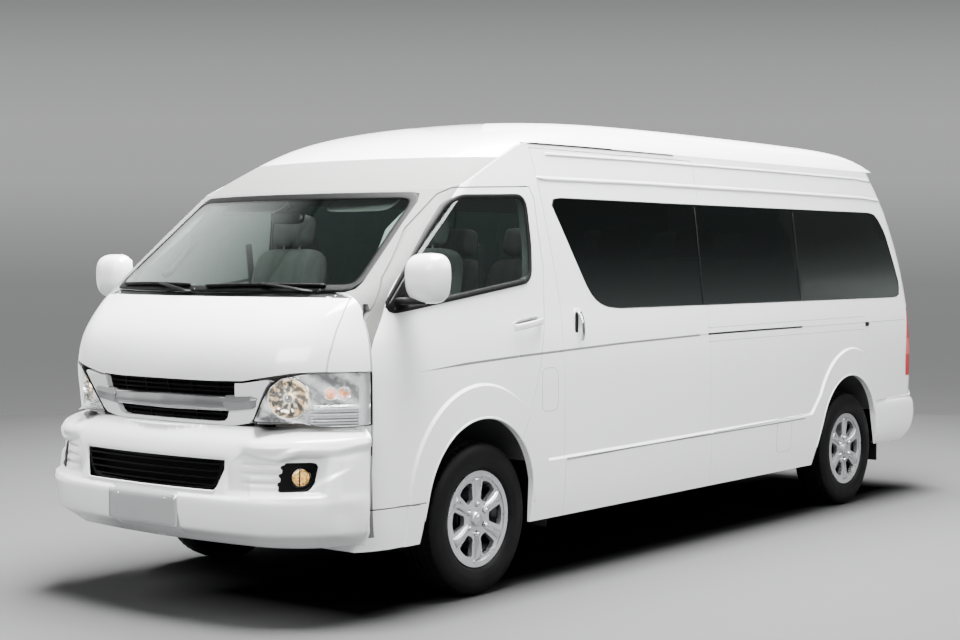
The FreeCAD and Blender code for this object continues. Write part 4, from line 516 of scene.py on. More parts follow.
def woven():
    """Seat cloth: two sets of fine ribs crossed, over a mottled grey."""
    finish = Finish("seat_cloth", (0.12, 0.12, 0.115), 0.9, Sheen_Weight=0.15)
    x, y, z = finish.place()[1]
    ribs = (x * 1500.0).math("SINE") * ((z + y) * 1500.0).math("SINE")
    stripe = (x * 70.0).math("SINE").above(0.3)
    tone = finish.mixed(finish.noise(30.0), (0.095, 0.096, 0.092), (0.14, 0.14, 0.133))
    finish.feed("Base Color", finish.mixed(stripe * 0.3, tone, (0.07, 0.07, 0.07)))
    return finish.bump(ribs, 0.3, 0.0006).material


def brushed(name, color, rough=0.3, metallic=1.0, scale=300.0):
    """Bare or plated metal with a faint drawn grain."""
    finish = Finish(name, color, rough, Metallic=metallic)
    drawn = finish.node("Mapping", Vector=finish.place()[0], Scale=(1, 0.06, 1))
    grain = finish.noise(scale, 2.0, finish.out(drawn))
    finish.feed("Roughness", grain * 0.18 + (rough - 0.09))
    return finish.varied(color, 12.0, 0.08).bump(grain, 0.04, 0.0003).material


def glow(name, color, rough, strength, **sockets):
    """Lamp parts: a clear or coloured surface that also shines a little."""
    finish = Finish(name, color, rough, Emission_Strength=strength, **sockets)
    finish.shader.inputs["Emission Color"].default_value = (*color, 1)
    return finish.varied(color, 30.0, 0.08).material


def lens_red():
    """Red lamp plastic with fine level ribs and two paler bands."""
    finish = Finish("lamp_red", (0.42, 0.012, 0.018), 0.12, Coat_Weight=1.0, Coat_Roughness=0.03,
                    Emission_Strength=0.06)
    z = finish.place()[1][2]
    ribs = (z * 520.0).math("SINE")
    bands = (z * 14.0 + 0.6).math("SINE").above(0.75)
    finish.feed("Base Color", finish.mixed(bands, (0.42, 0.012, 0.018), (0.62, 0.10, 0.10)))
    finish.shader.inputs["Emission Color"].default_value = (0.5, 0.02, 0.02, 1)
    return finish.bump(ribs, 0.25, 0.0008).material


PAINT = body_paint()
CLEAR = see_through("clear_glass", (0.84, 0.90, 0.88), (0.95, 1.0, 0.98), 0.03)
TINTED = see_through("tinted_glass", (0.20, 0.26, 0.24), (0.90, 1.0, 0.96), 0.01, 0.28)
LAMP_CLEAR = see_through("lamp_clear", (0.95, 0.96, 0.96), (1.0, 1.0, 1.0), 0.0)
BLACK = grained("black_plastic", (0.0045, 0.0045, 0.0048), 0.5, Specular_IOR_Level=0.22)
GRILLE_BLACK = grained("grille_black", (0.0018, 0.0018, 0.0019), 0.5, Specular_IOR_Level=0.06)
TRIM_BLACK = grained("gloss_black", (0.003, 0.003, 0.0033), 0.25, 300.0, 0.05, Specular_IOR_Level=0.25)
SEAL = grained("seal_rubber", (0.004, 0.004, 0.004), 0.6, 500.0, 0.1, Specular_IOR_Level=0.15)
CABIN = grained("cabin_plastic", (0.07, 0.069, 0.066), 0.62, 700.0, 0.4)
CABIN_LIGHT = grained("cabin_light", (0.38, 0.375, 0.36), 0.7, 700.0, 0.3)
UNDER = grained("underbody_black", (0.008, 0.008, 0.008), 0.7, 200.0, 0.3, 0.3)
FLOORING = grained("floor_vinyl", (0.10, 0.10, 0.10), 0.75, 160.0, 0.4, 0.25)
CAST = grained("cast_iron", (0.12, 0.115, 0.11), 0.6, 120.0, 0.5, 0.25, Metallic=0.6)
STEEL = brushed("pipe_steel", (0.36, 0.35, 0.34), 0.42)
CHROME = brushed("chrome", (0.86, 0.87, 0.88), 0.13)
SATIN = brushed("satin_silver", (0.74, 0.745, 0.76), 0.30, 0.9)
BAR = brushed("bar_silver", (0.27, 0.273, 0.277), 0.36, 0.95)
# The brake disc's grey is taken nearly black: partly dark iron, partly painted shade behind the spokes.
DISC = brushed("brake_disc", (0.05, 0.05, 0.052), 0.45)
CORE = brushed("radiator_core", (0.012, 0.012, 0.013), 0.6, 0.5)
RUBBER = tyre_rubber()
ALLOY = alloy()
CLOTH = woven()
RED = lens_red()
AMBER = glow("lamp_amber", (0.95, 0.24, 0.01), 0.15, 1.3, Coat_Weight=0.2)
WARM = glow("lamp_filament", (1.0, 0.82, 0.52), 0.3, 6.0)
PLATE = grained("plate_silver", (0.40, 0.405, 0.41), 0.3, 200.0, 0.05, 0.08, Metallic=0.5)
SILVERED = (0.75, 0.78, 0.8)
MIRROR = Finish("mirror_glass", SILVERED, 0.02, Metallic=1.0).varied(SILVERED, 3.0, 0.03).material
GROOVE = grained("seam_shadow", (0.06, 0.06, 0.062), 0.6, 300.0, 0.05)
SHADE = grained("crease_shadow", (0.15, 0.151, 0.153), 0.5, 300.0, 0.05, Specular_IOR_Level=0.2)
# Which material each CAD node takes
NODE_LOOKS = (
    (PAINT, "body_shell roof_cap sliding_door front_bumper rear_bumper grille_panel bonnet front_door_left"),
    (PAINT, "front_door_right tailgate mirror_left mirror_right"),
    (CLEAR, "windscreen door_glass_left door_glass_right"), (TINTED, "side_glass tailgate_glass"),
    (LAMP_CLEAR, "headlamps"), (BLACK, "fog_lamps mudflaps"), (GRILLE_BLACK, "grille lower_grille"),
    (BAR, "grille_bar"), (RED, "tail_lamps"), (CABIN, "dashboard steering_wheel"), (FLOORING, "floor"),
    (UNDER, "chassis_rails front_beam rear_axle fuel_tank knuckle_left knuckle_right"),
    (CAST, "engine_block"), (STEEL, "exhaust"), (CORE, "radiator"),
    (ALLOY, "rim_front_left rim_front_right rim_rear_left rim_rear_right"),
    (RUBBER, "tyre_front_left tyre_front_right tyre_rear_left tyre_rear_right"))
for material, names in NODE_LOOKS:
    for name in names.split():
        NODES[name].data.materials.clear()
        NODES[name].data.materials.append(material)


# Wheels
def tyre(name, body, node, y, side):
    """Tread and walls about the axle: radius R minus a groove depth where a zigzag line passes.

    Walls are a curve from the bead out to the widest point and in to the shoulder; grooves sit at
    four offsets that swing with a triangle wave of the turn, and shoulder cuts repeat 60 times."""
    count = 360
    turn = np.arange(count) * 2 * np.pi / count
    wall_t = np.linspace(0, 1, 16)
    knots = [0, 0.1, 0.25, 0.5, 0.75, 0.9, 1]
    wall_u = np.interp(wall_t, knots, [0.385, 0.40, 0.46, 0.5, 0.485, 0.43, 0.37])
    wall_r = np.interp(wall_t, knots, [0.0, 0.135, 0.2, 0.45, 0.74, 0.915, 0.975])
    tread_u = np.linspace(0.36, -0.36, 76)
    tread_r = 1 - 0.35 * (abs(tread_u) / 0.5) ** 6 * 0.6 - 0.004 * (tread_u / 0.36) ** 2
    u = np.concatenate([wall_u, tread_u, -wall_u[::-1]]) * TYRE_HALF * 2
    h = np.concatenate([wall_r, tread_r, wall_r[::-1]])
    radius = BEAD_R + h * (TYRE_R - BEAD_R)
    wave = abs((turn * 30 / np.pi) % 2 - 1) - 0.5
    depth = np.zeros((len(u), count))
    for k, place in enumerate((-0.052, -0.018, 0.018, 0.052)):
        line = place + wave * 0.007 * (-1) ** k
        depth = np.maximum(depth, 0.0075 * (abs(u[:, None] - line) < 0.0034))
    shoulder = (abs(u) > 0.056) & (abs(u) < 0.082)
    cut = ((turn * 60 / (2 * np.pi)) % 1 < 0.18) & shoulder[:, None]
    depth = np.maximum(depth, 0.005 * cut)
    depth[h < 0.9] = 0
    ring = 0.0012 * (np.exp(-((h - 0.30) / 0.02) ** 2) + np.exp(-((h - 0.62) / 0.015) ** 2))
    u = u + np.sign(u) * ring * (h < 0.85)
    r = np.minimum(radius[:, None] - depth, TYRE_R)
    grid = np.stack([side * (WHEEL_X + u[:, None] + 0 * turn), y + r * np.sin(turn),
                     AXLE_Z + r * np.cos(turn)], -1)
    inner = np.stack([u[::-1] * 0.86, radius[::-1] - 0.012], -1)[::6]
    lining = lathe(inner, count, side * WHEEL_X, y, AXLE_Z, side)
    whole = np.concatenate([grid, lining])
    obj = solid(name, whole, RUBBER, body, closed=True)
    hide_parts(node)


def spokes(name, body, y, side):
    """Six raised spokes over the cast disc: a rounded ridge that widens to the rim and to the hub."""
    grids = []
    t = np.linspace(0, 1, 14)
    w = np.linspace(-1, 1, 13)
    for k in range(6):
        a = 2 * np.pi * k / 6
        r = 0.058 + t * 0.132
        half = 0.0235 - 0.004 * np.sin(np.pi * t) + 0.006 * t ** 3
        high = 0.0035 + 0.011 * np.sin(np.pi * np.clip(t * 0.9 + 0.05, 0, 1))
        face = RIM_FACE + 0.0105 * np.clip((r - 0.085) / 0.1, 0, 1)
        ridge = high[:, None] * (1 - abs(w) ** 2.6) - 0.006 * (abs(w) > 0.99)
        across, along = half[:, None] * w, r[:, None] + 0 * w
        out = face[:, None] + ridge
        top = np.stack([side * (WHEEL_X + out), y + along * np.sin(a) + across * np.cos(a),
                        AXLE_Z + along * np.cos(a) - across * np.sin(a)], -1)
        back = top.copy()
        back[..., 0] -= side * (ridge + 0.010)
        grids.append(capped(np.concatenate([top, back[:, ::-1]], 1)))
    solid(name, grids, ALLOY, body)


def wheel_trim(name, body, y, side):
    """Centre cap, six nuts in black cups and the valve; the cups are painted shade of the nuts' recesses."""
    face = RIM_FACE
    x = side * WHEEL_X
    hub = (x, y, AXLE_Z)
    cap = lathe([(face, 0.0), (face + 0.021, 0.0), (face + 0.021, 0.019), (face + 0.0185, 0.021),
                 (face + 0.0185, 0.024), (face + 0.020, 0.026), (face + 0.017, 0.033), (face, 0.036)], 48,
                *hub, side)
    solid(name + "_cap", cap, ALLOY, body)
    nuts, cups = [], []
    for k in range(6):
        a = 2 * np.pi * k / 6
        ny, nz = y + NUT_R * math.sin(a), AXLE_Z + NUT_R * math.cos(a)
        cups.append(lathe([(face - 0.004, 0.0), (face + 0.0042, 0.0), (face + 0.0042, 0.0135),
                           (face + 0.006, 0.0155), (face - 0.004, 0.0165)], 24, x, ny, nz, side))
        nuts.append(lathe([(face, 0.0), (face + 0.0195, 0.0), (face + 0.0195, 0.006),
                           (face + 0.015, 0.0095), (face, 0.0105)], 12, x, ny, nz, side))
    # Black cups round the nuts: painted shade of the recesses that hold them.
    solid(name + "_cups", cups, TRIM_BLACK, body)
    solid(name + "_nuts", nuts, CHROME, body)
    a = 2 * np.pi / 12
    stem = np.array([[x + side * 0.045, y + 0.172 * math.sin(a), AXLE_Z + 0.172 * math.cos(a)],
                     [x + side * 0.076, y + 0.163 * math.sin(a), AXLE_Z + 0.163 * math.cos(a)]])
    bar(name + "_valve", stem, circle(0.004, 8), Z, BLACK, body)


def brake(name, body, holder, y, side, drum):
    """A vented disc with its hat and a caliper, or a finned drum."""
    x = side * WHEEL_X
    if drum:
        shape = [(-0.075, 0.0), (-0.075, 0.148), (-0.06, 0.152), (-0.01, 0.152), (0.0, 0.145),
                 (0.012, 0.09), (0.03, 0.07), (0.03, 0.0)]
        solid(name + "_drum", lathe(shape, 64, x, y, AXLE_Z, side), CAST, body)
        return
    shape = [(0.036, 0.0), (0.036, 0.075), (0.02, 0.085), (-0.004, 0.088), (-0.004, 0.150), (-0.012, 0.150),
             (-0.012, 0.1), (-0.018, 0.1), (-0.018, 0.150), (-0.026, 0.150), (-0.026, 0.088), (-0.02, 0.07),
             (-0.02, 0.0)]
    solid(name + "_disc", lathe(shape, 72, x, y, AXLE_Z, side), DISC, body)
    place = np.array([x - side * 0.05, y + 0.115, AXLE_Z + 0.045])
    solid(name + "_caliper", pillow(place, (0, 0.37, 0.93), (0, -0.93, 0.37), side * X, 0.072, 0.034, 0.078,
                                    6.0), CAST, holder)


for place, y in (("front", FRONT_AXLE), ("rear", REAR_AXLE)):
    for hand, side in HANDS:
        tag = place + "_" + hand
        wheel = "wheel_" + tag
        tyre("tread_" + tag, wheel, "tyre_" + tag, y, side)
        spokes("spokes_" + tag, wheel, y, side)
        wheel_trim("hub_" + tag, wheel, y, side)
        brake("brake_" + tag, wheel, "steer_" + hand, y, side, place == "rear")


# Lamps: the outline and its middle in lamp coordinates, along and up
LAMP_LINE = np.array([(-.391, .852), (-.372, .90), (-.348, .958), (-.3225, 1.003), (-.273, 1.044),
                      (-.1895, 1.062), (-.07, 1.067), (.112, 1.070), (.112, .843), (.03, .838),
                      (-.05, .836), (-.13, .840), (-.17, .848), (-.198, .852)])
LAMP_MIDDLE = np.array([-.14, .955])
LAMP_TREE = tree_of("headlamps")
SLANT = math.sqrt(0.5)
# The round dish: its middle along and up, and its radius
BOWL = (-.238, .956, .084)


def lamp_place(along, z, inward=0.0, side=1):
    """Points at lamp coordinates: along runs 45 degrees round the corner, inward is depth behind the lens."""
    along, z = np.broadcast_arrays(np.asarray(along, float), np.asarray(z, float))
    far = 2.0
    outs = []
    for a, h in zip(along.ravel(), z.ravel()):
        start = Vector(((a + far) * SLANT, FRONT_AXLE + (a - far) * SLANT, h))
        hit = LAMP_TREE.ray_cast(start, Vector((-SLANT, SLANT, 0)))[0]
        outs.append(far - (hit - start).length if hit else np.nan)
    out = bridged(outs, along.shape) - inward
    return np.stack([side * (along + out) * SLANT, FRONT_AXLE + (along - out) * SLANT, z], -1)


def lamp_grid(share, rings, count, depth, side, low=0.0):
    """Rings that shrink the lamp's outline towards its middle, each point set back by depth(along, z)."""
    line = resampled(LAMP_LINE, 0.003, True)
    index = np.linspace(0, len(line), count, endpoint=False).astype(int)
    along, z = fan(line[index], LAMP_MIDDLE, low, share, rings)
    return lamp_place(along, z, depth(along, z), side)


def reflector_depth(along, z):
    """Depth of the lamp's inside: a round fluted dish inboard, two small dishes over ribs outboard."""
    d = np.hypot(along - BOWL[0], z - BOWL[1]) / BOWL[2]
    turn = np.arctan2(z - BOWL[1], along - BOWL[0])
    flutes = 0.0022 * abs(np.sin(turn * 7)) * np.clip(d, 0, 1) * (d < 1)
    round_dish = 0.050 * np.sqrt(np.clip(1 - d * d, 0, 1)) + flutes
    rim = 0.006 * np.exp(-((d - 1.05) / 0.05) ** 2)
    field = 0.016 + 0.010 * np.clip((along + .15) / .2, 0, 1)
    ribs = 0.0035 * abs(((z - .856) / 0.0125) % 2 - 1) * (z < .918) * (along > -.135) * (along < .092)
    shelf = 0.010 * np.exp(-((z - .922) / 0.006) ** 2) * (along > -.13)
    from_bulb = [np.hypot(along - a, z - .978) / .028 for a in (-.062, -.008)]
    small = sum(0.022 * np.sqrt(np.clip(1 - share ** 2, 0, 1)) for share in from_bulb)
    edge = 0.012 * np.clip((along - .094) / .004, 0, 1)
    return field + round_dish - rim + ribs + small - shelf - edge


def lamp_silver():
    """Plating inside a lamp, with painted highlights and reflections in its emission: streaks turn with the
    angle about the bulb, ribs and a sweep light the field.
    """
    finish = Finish("lamp_silver", (0.90, 0.905, 0.91), 0.16, Metallic=1.0, Emission_Strength=1.0)
    x, y, z = finish.place()[1]
    centre = lamp_place(BOWL[0], BOWL[1], 0.03)
    along = (x.math("ABSOLUTE") - float(centre[0])) * SLANT + (y - float(centre[1])) * SLANT
    rise = z - float(centre[2])
    far = (along * along + rise * rise).math("SQRT")
    turn = rise.math("ARCTAN2", along)
    # The emission paints highlights: streaks, a ring and a glare about the bulb, and lit ribs and a sweep on
    # the field, with dark between them.
    streak = ((turn * 9.0 + far * 70.0).math("SINE") * 0.5 + 0.5) * finish.noise(60.0, 1.0).ramp(0.3, 0.7)
    ring = (1 - ((far - 0.062) * 50.0).math("ABSOLUTE")).math("MAXIMUM", 0.0)
    tint = finish.mixed(ring, (1.5, 1.35, 1.05), (1.5, 0.80, 0.26))
    dish = finish.mixed(streak.ramp(0.15, 0.55), (0.045, 0.04, 0.033), tint)
    lit = finish.mixed((1 - far * 34.0).math("MAXIMUM", 0.0), dish, (4.0, 3.6, 2.8))
    rib = (z * (math.pi / 0.00625)).math("SINE").ramp(-0.5, 0.4)
    wave = (along * 34.0 + rise * 60.0).math("SINE").ramp(-0.2, 0.9)
    sweep = wave * 0.75 + finish.noise(40.0, 1.0).ramp(0.45, 0.6) * 0.25
    low = finish.mixed(rib, (0.05, 0.05, 0.05), (0.62, 0.62, 0.62))
    high = finish.mixed(sweep, (0.16, 0.16, 0.16), (1.1, 1.1, 1.1))
    field = finish.mixed(z.below(0.918) * along.above(0.09), high, low)
    finish.feed("Emission Color", finish.mixed(far.below(0.083), field, lit))
    plating = finish.mixed(finish.noise(30.0, 1.0), (0.72, 0.73, 0.74), (0.90, 0.905, 0.91))
    finish.feed("Base Color", finish.mixed(far.below(0.083), plating, (0.34, 0.32, 0.29)))
    return finish.feed("Roughness", finish.noise(22.0, 1.0) * 0.16 + 0.08).material


def headlamp(hand, side):
    """Clear cover, black edge, plated inside and bulbs; together they stand for the CAD lamp."""
    outward = (side, -1, 0)
    cover = sheet("lamp_cover_" + hand, lamp_grid(1.0, 12, 96, lambda a, z: 0 * a, side), outward, True)
    dressed(cover, LAMP_CLEAR, wall=0.0025)
    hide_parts("headlamps")
    back = sheet("lamp_inside_" + hand, lamp_grid(0.985, 72, 300, reflector_depth, side), outward, True)
    dressed(back, LAMP_SILVER, wall=0.002)
    edge = lamp_grid(1.0, 2, 96, lambda a, z: 0 * a - 0.0012, side, 0.968)
    wall = lamp_grid(1.0, 2, 96, lambda a, z: np.interp(a, (-.16, -.06), (.055, .012)) + 0 * z, side, 0.985)
    skirt = np.concatenate([edge, wall[::-1]])
    solid("lamp_edge_" + hand, skirt, TRIM_BLACK, closed=True)
    out = np.array([side * SLANT, -SLANT, 0])
    along = np.array([side * SLANT, SLANT, 0])
    bulbs = ((BOWL[0], BOWL[1], .013, 0.052, WARM), (-.062, .976, .0055, 0.030, AMBER),
             (-.008, .977, .0065, 0.030, AMBER))
    for k, (a, z, radius, inward, material) in enumerate(bulbs):
        centre = lamp_place(a, z, inward, side)
        solid("lamp_bulb_%d_" % k + hand, pillow(centre, along, Z, out, radius, radius, radius * 1.7, 2.0,
                                                 8, 24, radius), material)
    hood = [lamp_place(BOWL[0], BOWL[1], inward, side) for inward in (0.050, 0.018)]
    cap = np.array([hood[0], hood[1], hood[1] + out * 0.006])
    grid = swept(cap, circle(1.0, 20), Z) - cap[:, None]
    grid = cap[:, None] + grid * np.array([.003, .017, .010])[:, None, None]
    solid("lamp_hood_" + hand, capped(grid), SATIN)


LAMP_SILVER = lamp_silver()
for hand, side in HANDS:
    headlamp(hand, side)


# Trim on the sides and ends
def fit(rows):
    """Side outlines are kept from the front axle: y grows by the axle's place."""
    return [(y + FRONT_AXLE, z) for y, z in rows]


def end_strip(name, xz, half, high, material):
    """A low strip round a closed line in x and z on the front skin."""
    x, z, t = strip_rows(resampled(xz, 0.03, True), half, True)
    solid(name, strip_form(on_end(x, z), t, high, -Y, True), material, closed=True)


def rounded(y0, y1, z0, z1, r, count=6):
    """A rectangle with round corners as a closed line."""
    a = np.linspace(0, np.pi / 2, count)
    corners = [(y1 - r, z1 - r, 0), (y0 + r, z1 - r, 1), (y0 + r, z0 + r, 2), (y1 - r, z0 + r, 3)]
    return np.concatenate([np.stack([cy + r * np.cos(a + k * np.pi / 2),
                                     cz + r * np.sin(a + k * np.pi / 2)], -1) for cy, cz, k in corners])


DOOR_WINDOW = fit([(-.648, 1.335), (-.61, 1.318), (-.48, 1.332), (-.147, 1.373), (.355, 1.436),
                   (.392, 1.46), (.408, 1.60), (.402, 1.81), (.37, 1.838), (-.08, 1.822), (-.176, 1.79),
                   (-.326, 1.66), (-.544, 1.45)])
CREASE = fit([(-.461, 1.052), (-.112, 1.074), (.26, 1.089), (.579, 1.099), (1.1, 1.116), (1.88, 1.132),
              (2.54, 1.138), (3.69, 1.141), (4.49, 1.145)])
SIDE_BAND = fit([(.612, 1.80), (.628, 1.832), (.66, 1.838), (2.0, 1.838), (4.10, 1.842), (4.195, 1.832),
                 (4.232, 1.80), (4.31, 1.72), (4.41, 1.506), (4.468, 1.36), (4.46, 1.312), (4.40, 1.296),
                 (2.574, 1.294), (1.12, 1.295), (1.00, 1.305), (.92, 1.338), (.865, 1.389), (.825, 1.453),
                 (.736, 1.60), (.648, 1.75)])
WINDSCREEN = [(0, 1.392), (.50, 1.394), (.74, 1.398), (.776, 1.412), (.782, 1.44), (.762, 1.56),
              (.738, 1.69), (.722, 1.80), (.700, 1.838), (.66, 1.846), (0, 1.846)]


def pulled_in(line, margin):
    """A closed line moved towards its middle side by a margin."""
    run = run_of(line, True)
    n = np.stack([-run[:, 1], run[:, 0]], -1)
    area = (line[:, 0] * np.roll(line[:, 1], -1) - np.roll(line[:, 0], -1) * line[:, 1]).sum()
    return line + n * margin * (1 if area > 0 else -1)


def side_trim(hand, side):
    """Seals, sills, beads and joints of one side, and grey strips of painted shade along the crease and the
    skirt.
    """
    door = "door_" + hand
    window = pulled_in(resampled(DOOR_WINDOW, 0.02, True), -0.002)
    band = pulled_in(resampled(SIDE_BAND, 0.02, True), -0.001)
    low_bead = fit([(.52, 1.93), (1.5, 1.938), (2.9, 1.94), (4.05, 1.938), (4.3, 1.925)])
    high_bead = fit([(.62, 2.052), (1.5, 2.06), (2.9, 2.062), (4.0, 2.06), (4.2, 2.05)])
    sill = fit([(-.60, 1.322), (-.48, 1.334), (-.147, 1.375), (.355, 1.438)])
    gutter = fit([(.48, 2.099), (.9, 2.103), (1.35, 2.104), (1.805, 2.105)])
    skirt = fit([(.625, .577), (1.6, .583), (2.6, .588), (3.08, .592)])
    joints = [fit([(y, 1.300), (y, 1.56), (y, 1.834)]) for y in (1.95, 3.075)]
    wide, low = 0.009, 0.0006
    # Each row: name, line, half width, height, material, body, closed, step and taper
    for name, *row in (("window_seal_", window, 0.013, 0.003, SEAL, door, True, 0.02),
                       ("window_sill_", sill, 0.014, 0.007, SEAL, door),
                       ("band_seal_", band, 0.0035, 0.001, SEAL, "body", True),
                       ("bead_low_", low_bead, 0.013, 0.005, PAINT),
                       ("bead_high_", high_bead, 0.010, 0.004, PAINT),
                       ("gutter_seal_", gutter, 0.006, 0.003, SEAL),
                       # Crease and skirt rows: grey strips of painted shade, almost flush with the skin.
                       ("crease_door_", CREASE[:3], wide, low, SHADE, door, False, 0.02, 0.30),
                       ("crease_pillar_", CREASE[2:4], wide, low, SHADE),
                       ("crease_body_", CREASE[3:6], wide, low, SHADE),
                       ("crease_rear_", CREASE[5:], 0.0022, low, SHADE),
                       ("skirt_shade_", skirt, 0.006, low, SHADE),
                       ("pane_joint_0_", joints[0], 0.010, 0.0008, TRIM_BLACK),
                       ("pane_joint_1_", joints[1], 0.010, 0.0008, TRIM_BLACK)):
        side_strip(name + hand, side, *row)


def left_side_only():
    """The fuel flap, the sliding door's rail with a joint above and below it, and the service flap."""
    joint = (0.0016, 0.0005, GROOVE)
    fuel = rounded(.43 + FRONT_AXLE, .56 + FRONT_AXLE, .816, 1.023, .035)
    service = rounded(2.735 + FRONT_AXLE, 2.912 + FRONT_AXLE, .415, .612, .03)
    side_strip("fuel_flap", 1, fuel, *joint, closed=True, step=0.015, slot="paint")
    side_strip("rail_slot", 1, fit([(1.97, 1.134), (2.5, 1.138), (3.06, 1.14)]), 0.008, 0.0012, SEAL)
    side_strip("rail_top", 1, fit([(1.97, 1.168), (3.0, 1.176), (3.9, 1.181)]), *joint, slot="paint")
    side_strip("rail_low", 1, fit([(1.97, 1.092), (3.0, 1.098), (3.9, 1.100)]), *joint, slot="paint")
    side_strip("service_flap", 1, service, *joint, closed=True, step=0.015, slot="paint")


def door_handle(hand, side):
    """Level pull handle: a plated pocket with painted shade on its floor, a painted bar across it and a lock.
    """
    body = "door_" + hand
    y0, y1 = .215 + FRONT_AXLE, .435 + FRONT_AXLE
    t = np.linspace(0, 1, 15)
    y, z = y0 + (y1 - y0) * t, 1.222 + 0.026 * t
    skin = on_side(y, z, side)
    middle = skin.mean(0)
    run = unit(np.array([0, y1 - y0, 0.026]))
    tall = np.cross(X, run)
    solid("handle_pocket_" + hand, pillow(middle, run, tall, side * X, 0.105, 0.030, 0.0018, 4.0, 6, 40,
                                          0.004), SATIN, body)
    solid("handle_shade_" + hand, pillow(middle + side * 0.0006 * X, run, tall, side * X, 0.097, 0.022,
                                         0.0018, 4.0, 6, 40, 0.002), GROOVE, body)
    lift = 0.006 + 0.024 * np.sin(np.pi * np.clip(t * 0.86 + 0.07, 0, 1)) ** 0.6
    path = skin + np.stack([side * lift, 0 * t, 0 * t], -1)
    bar("handle_bar_" + hand, resampled(path, 0.012), slab(0.030, 0.010, 0.55), side * X, PAINT, body)
    solid("handle_lock_" + hand, pillow(on_side(y1 - 0.012, 1.248, side, 0.012), (0, 1, 0), Z, side * X,
                                        0.009, 0.009, 0.004, 2.0, 6, 24, 0.012), CHROME, body)


def slide_handle():
    """Upright handle of the sliding door: painted frame, dark pocket and a plated grip."""
    t = np.linspace(0, 1, 15)
    y, z = .748 + FRONT_AXLE + 0 * t, 1.145 + 0.14 * t
    skin = on_side(y, z, 1)
    middle = skin.mean(0)
    solid("slide_frame", pillow(middle + [0, -0.008, 0], Y, Z, X, 0.034, 0.086, 0.003, 5.0, 6, 40, 0.004),
          PAINT)
    solid("slide_pocket", pillow(middle + [0.002, -0.018, 0], Y, Z, X, 0.015, 0.070, 0.002, 5.0, 6, 40,
                                 0.002), SEAL)
    lift = 0.008 + 0.022 * np.sin(np.pi * np.clip(t * 0.9 + 0.05, 0, 1)) ** 0.5
    path = skin + np.stack([lift, 0 * t, 0 * t], -1)
    bar("slide_grip", resampled(path, 0.012), slab(0.022, 0.010, 0.55), X, CHROME)


def mirror(hand, side):
    """A deep rounded shell on a black foot, its glass facing the rear, and the black corner panel."""
    body = "door_" + hand
    centre = np.array([side * 1.026, -.522 + FRONT_AXLE, 1.458])
    a = np.linspace(-np.pi / 2, np.pi / 2, 28)[:, None]
    b = (np.arange(56) * 2 * np.pi / 56)[None, :]
    ring = signed_power(np.cos(a), 0.75)
    px = 0.106 * ring * signed_power(np.cos(b), 0.62)
    pz = 0.108 * ring * signed_power(np.sin(b), 0.62)
    deep = signed_power(np.sin(a), 0.8) + 0 * b
    py = np.where(deep < 0, deep * 0.090, deep * 0.040) + 0.012 + 0 * px
    px = px * (1 - 0.10 * (pz < 0) * abs(pz) / 0.11)
    shell = np.stack([centre[0] + px + 0.07 * side * py * (deep < 0), centre[1] + py, centre[2] + pz], -1)
    piece = solid("mirror_shell_" + hand, shell, PAINT, body)
    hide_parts("mirror_" + hand)
    solid("mirror_glass_" + hand, pillow(centre + [0, 0.0525, 0], X, Z, Y, 0.078, 0.090, 0.002, 4.0, 6, 48,
                                         0.003), MIRROR, body)
    root = on_side(-.545 + FRONT_AXLE, 1.362, side)
    foot = np.array([root - [side * 0.02, 0, 0], root + [side * 0.05, -0.012, -0.002],
                     centre + [-side * 0.02, 0.006, -0.098]])
    bar("mirror_foot_" + hand, resampled(foot, 0.01), slab(0.085, 0.030, 0.45), Z, BLACK, body)
    corner = np.array(fit([(-.640, 1.338), (-.605, 1.322), (-.50, 1.332), (-.49, 1.36), (-.50, 1.478),
                           (-.53, 1.452)]))
    face = on_side(*fan(resampled(corner, 0.02, True), corner.mean(0), 0, 1, 5), side, 0.004)
    dressed(sheet("mirror_corner_" + hand, face, side * X, True), BLACK, body, wall=0.006)


def wiper(name, pivot, elbow, blade):
    """An arm from its spindle to the blade's middle, and a blade with its rubber along the glass."""
    p, e, b0, b1 = (np.array(k) for k in (pivot, elbow, *blade))
    t = np.linspace(0, 1, 12)[:, None]
    line = p + (e - p) * t
    skin = on_end(line[:, 0], line[:, 1])
    lift = 0.014 + 0.012 * np.sin(np.pi * t[:, 0])
    arm = skin + np.stack([0 * lift, -lift, lift * 0.4], -1)
    bar(name + "_arm", arm, slab(0.016, 0.007, 0.6), OFF_GLASS, GRILLE_BLACK)
    t = np.linspace(0, 1, 30)[:, None]
    line = b0 + (b1 - b0) * t + np.array([0, 0.004]) * np.sin(np.pi * t)
    skin = on_end(line[:, 0], line[:, 1])
    bar(name + "_blade", skin + [0, -0.010, 0.004], slab(0.013, 0.014, 0.7), OFF_GLASS, GRILLE_BLACK)
    bar(name + "_rubber", skin - 0.003 * Y, slab(0.004, 0.010, 0.7), OFF_GLASS, GRILLE_BLACK)
    solid(name + "_cap", skin_knob(pivot, 0.017, 0.024), GRILLE_BLACK)


def skin_knob(place, radius, high):
    """A round knob that stands on the front skin."""
    return pillow(on_end(*place) - 0.001 * Y, X, (0, 0.6, 0.8), (0, -0.8, 0.6), radius, radius, high, 2.0,
                  8, 24, 0.01)


def windscreen_trim():
    """Black fired border inside the glass edge, and both wipers."""
    whole = WINDSCREEN + [(-x, z) for x, z in WINDSCREEN[::-1] if x > 0]
    line = resampled(whole, 0.02, True)
    end_strip("screen_border", pulled_in(line, 0.014), 0.020, 0.0020, GRILLE_BLACK)
    wiper("wiper_left", (.62, 1.392), (.33, 1.428), ((.02, 1.418), (.64, 1.424)))
    wiper("wiper_right", (-.06, 1.390), (-.33, 1.426), ((-.68, 1.420), (-.10, 1.422)))


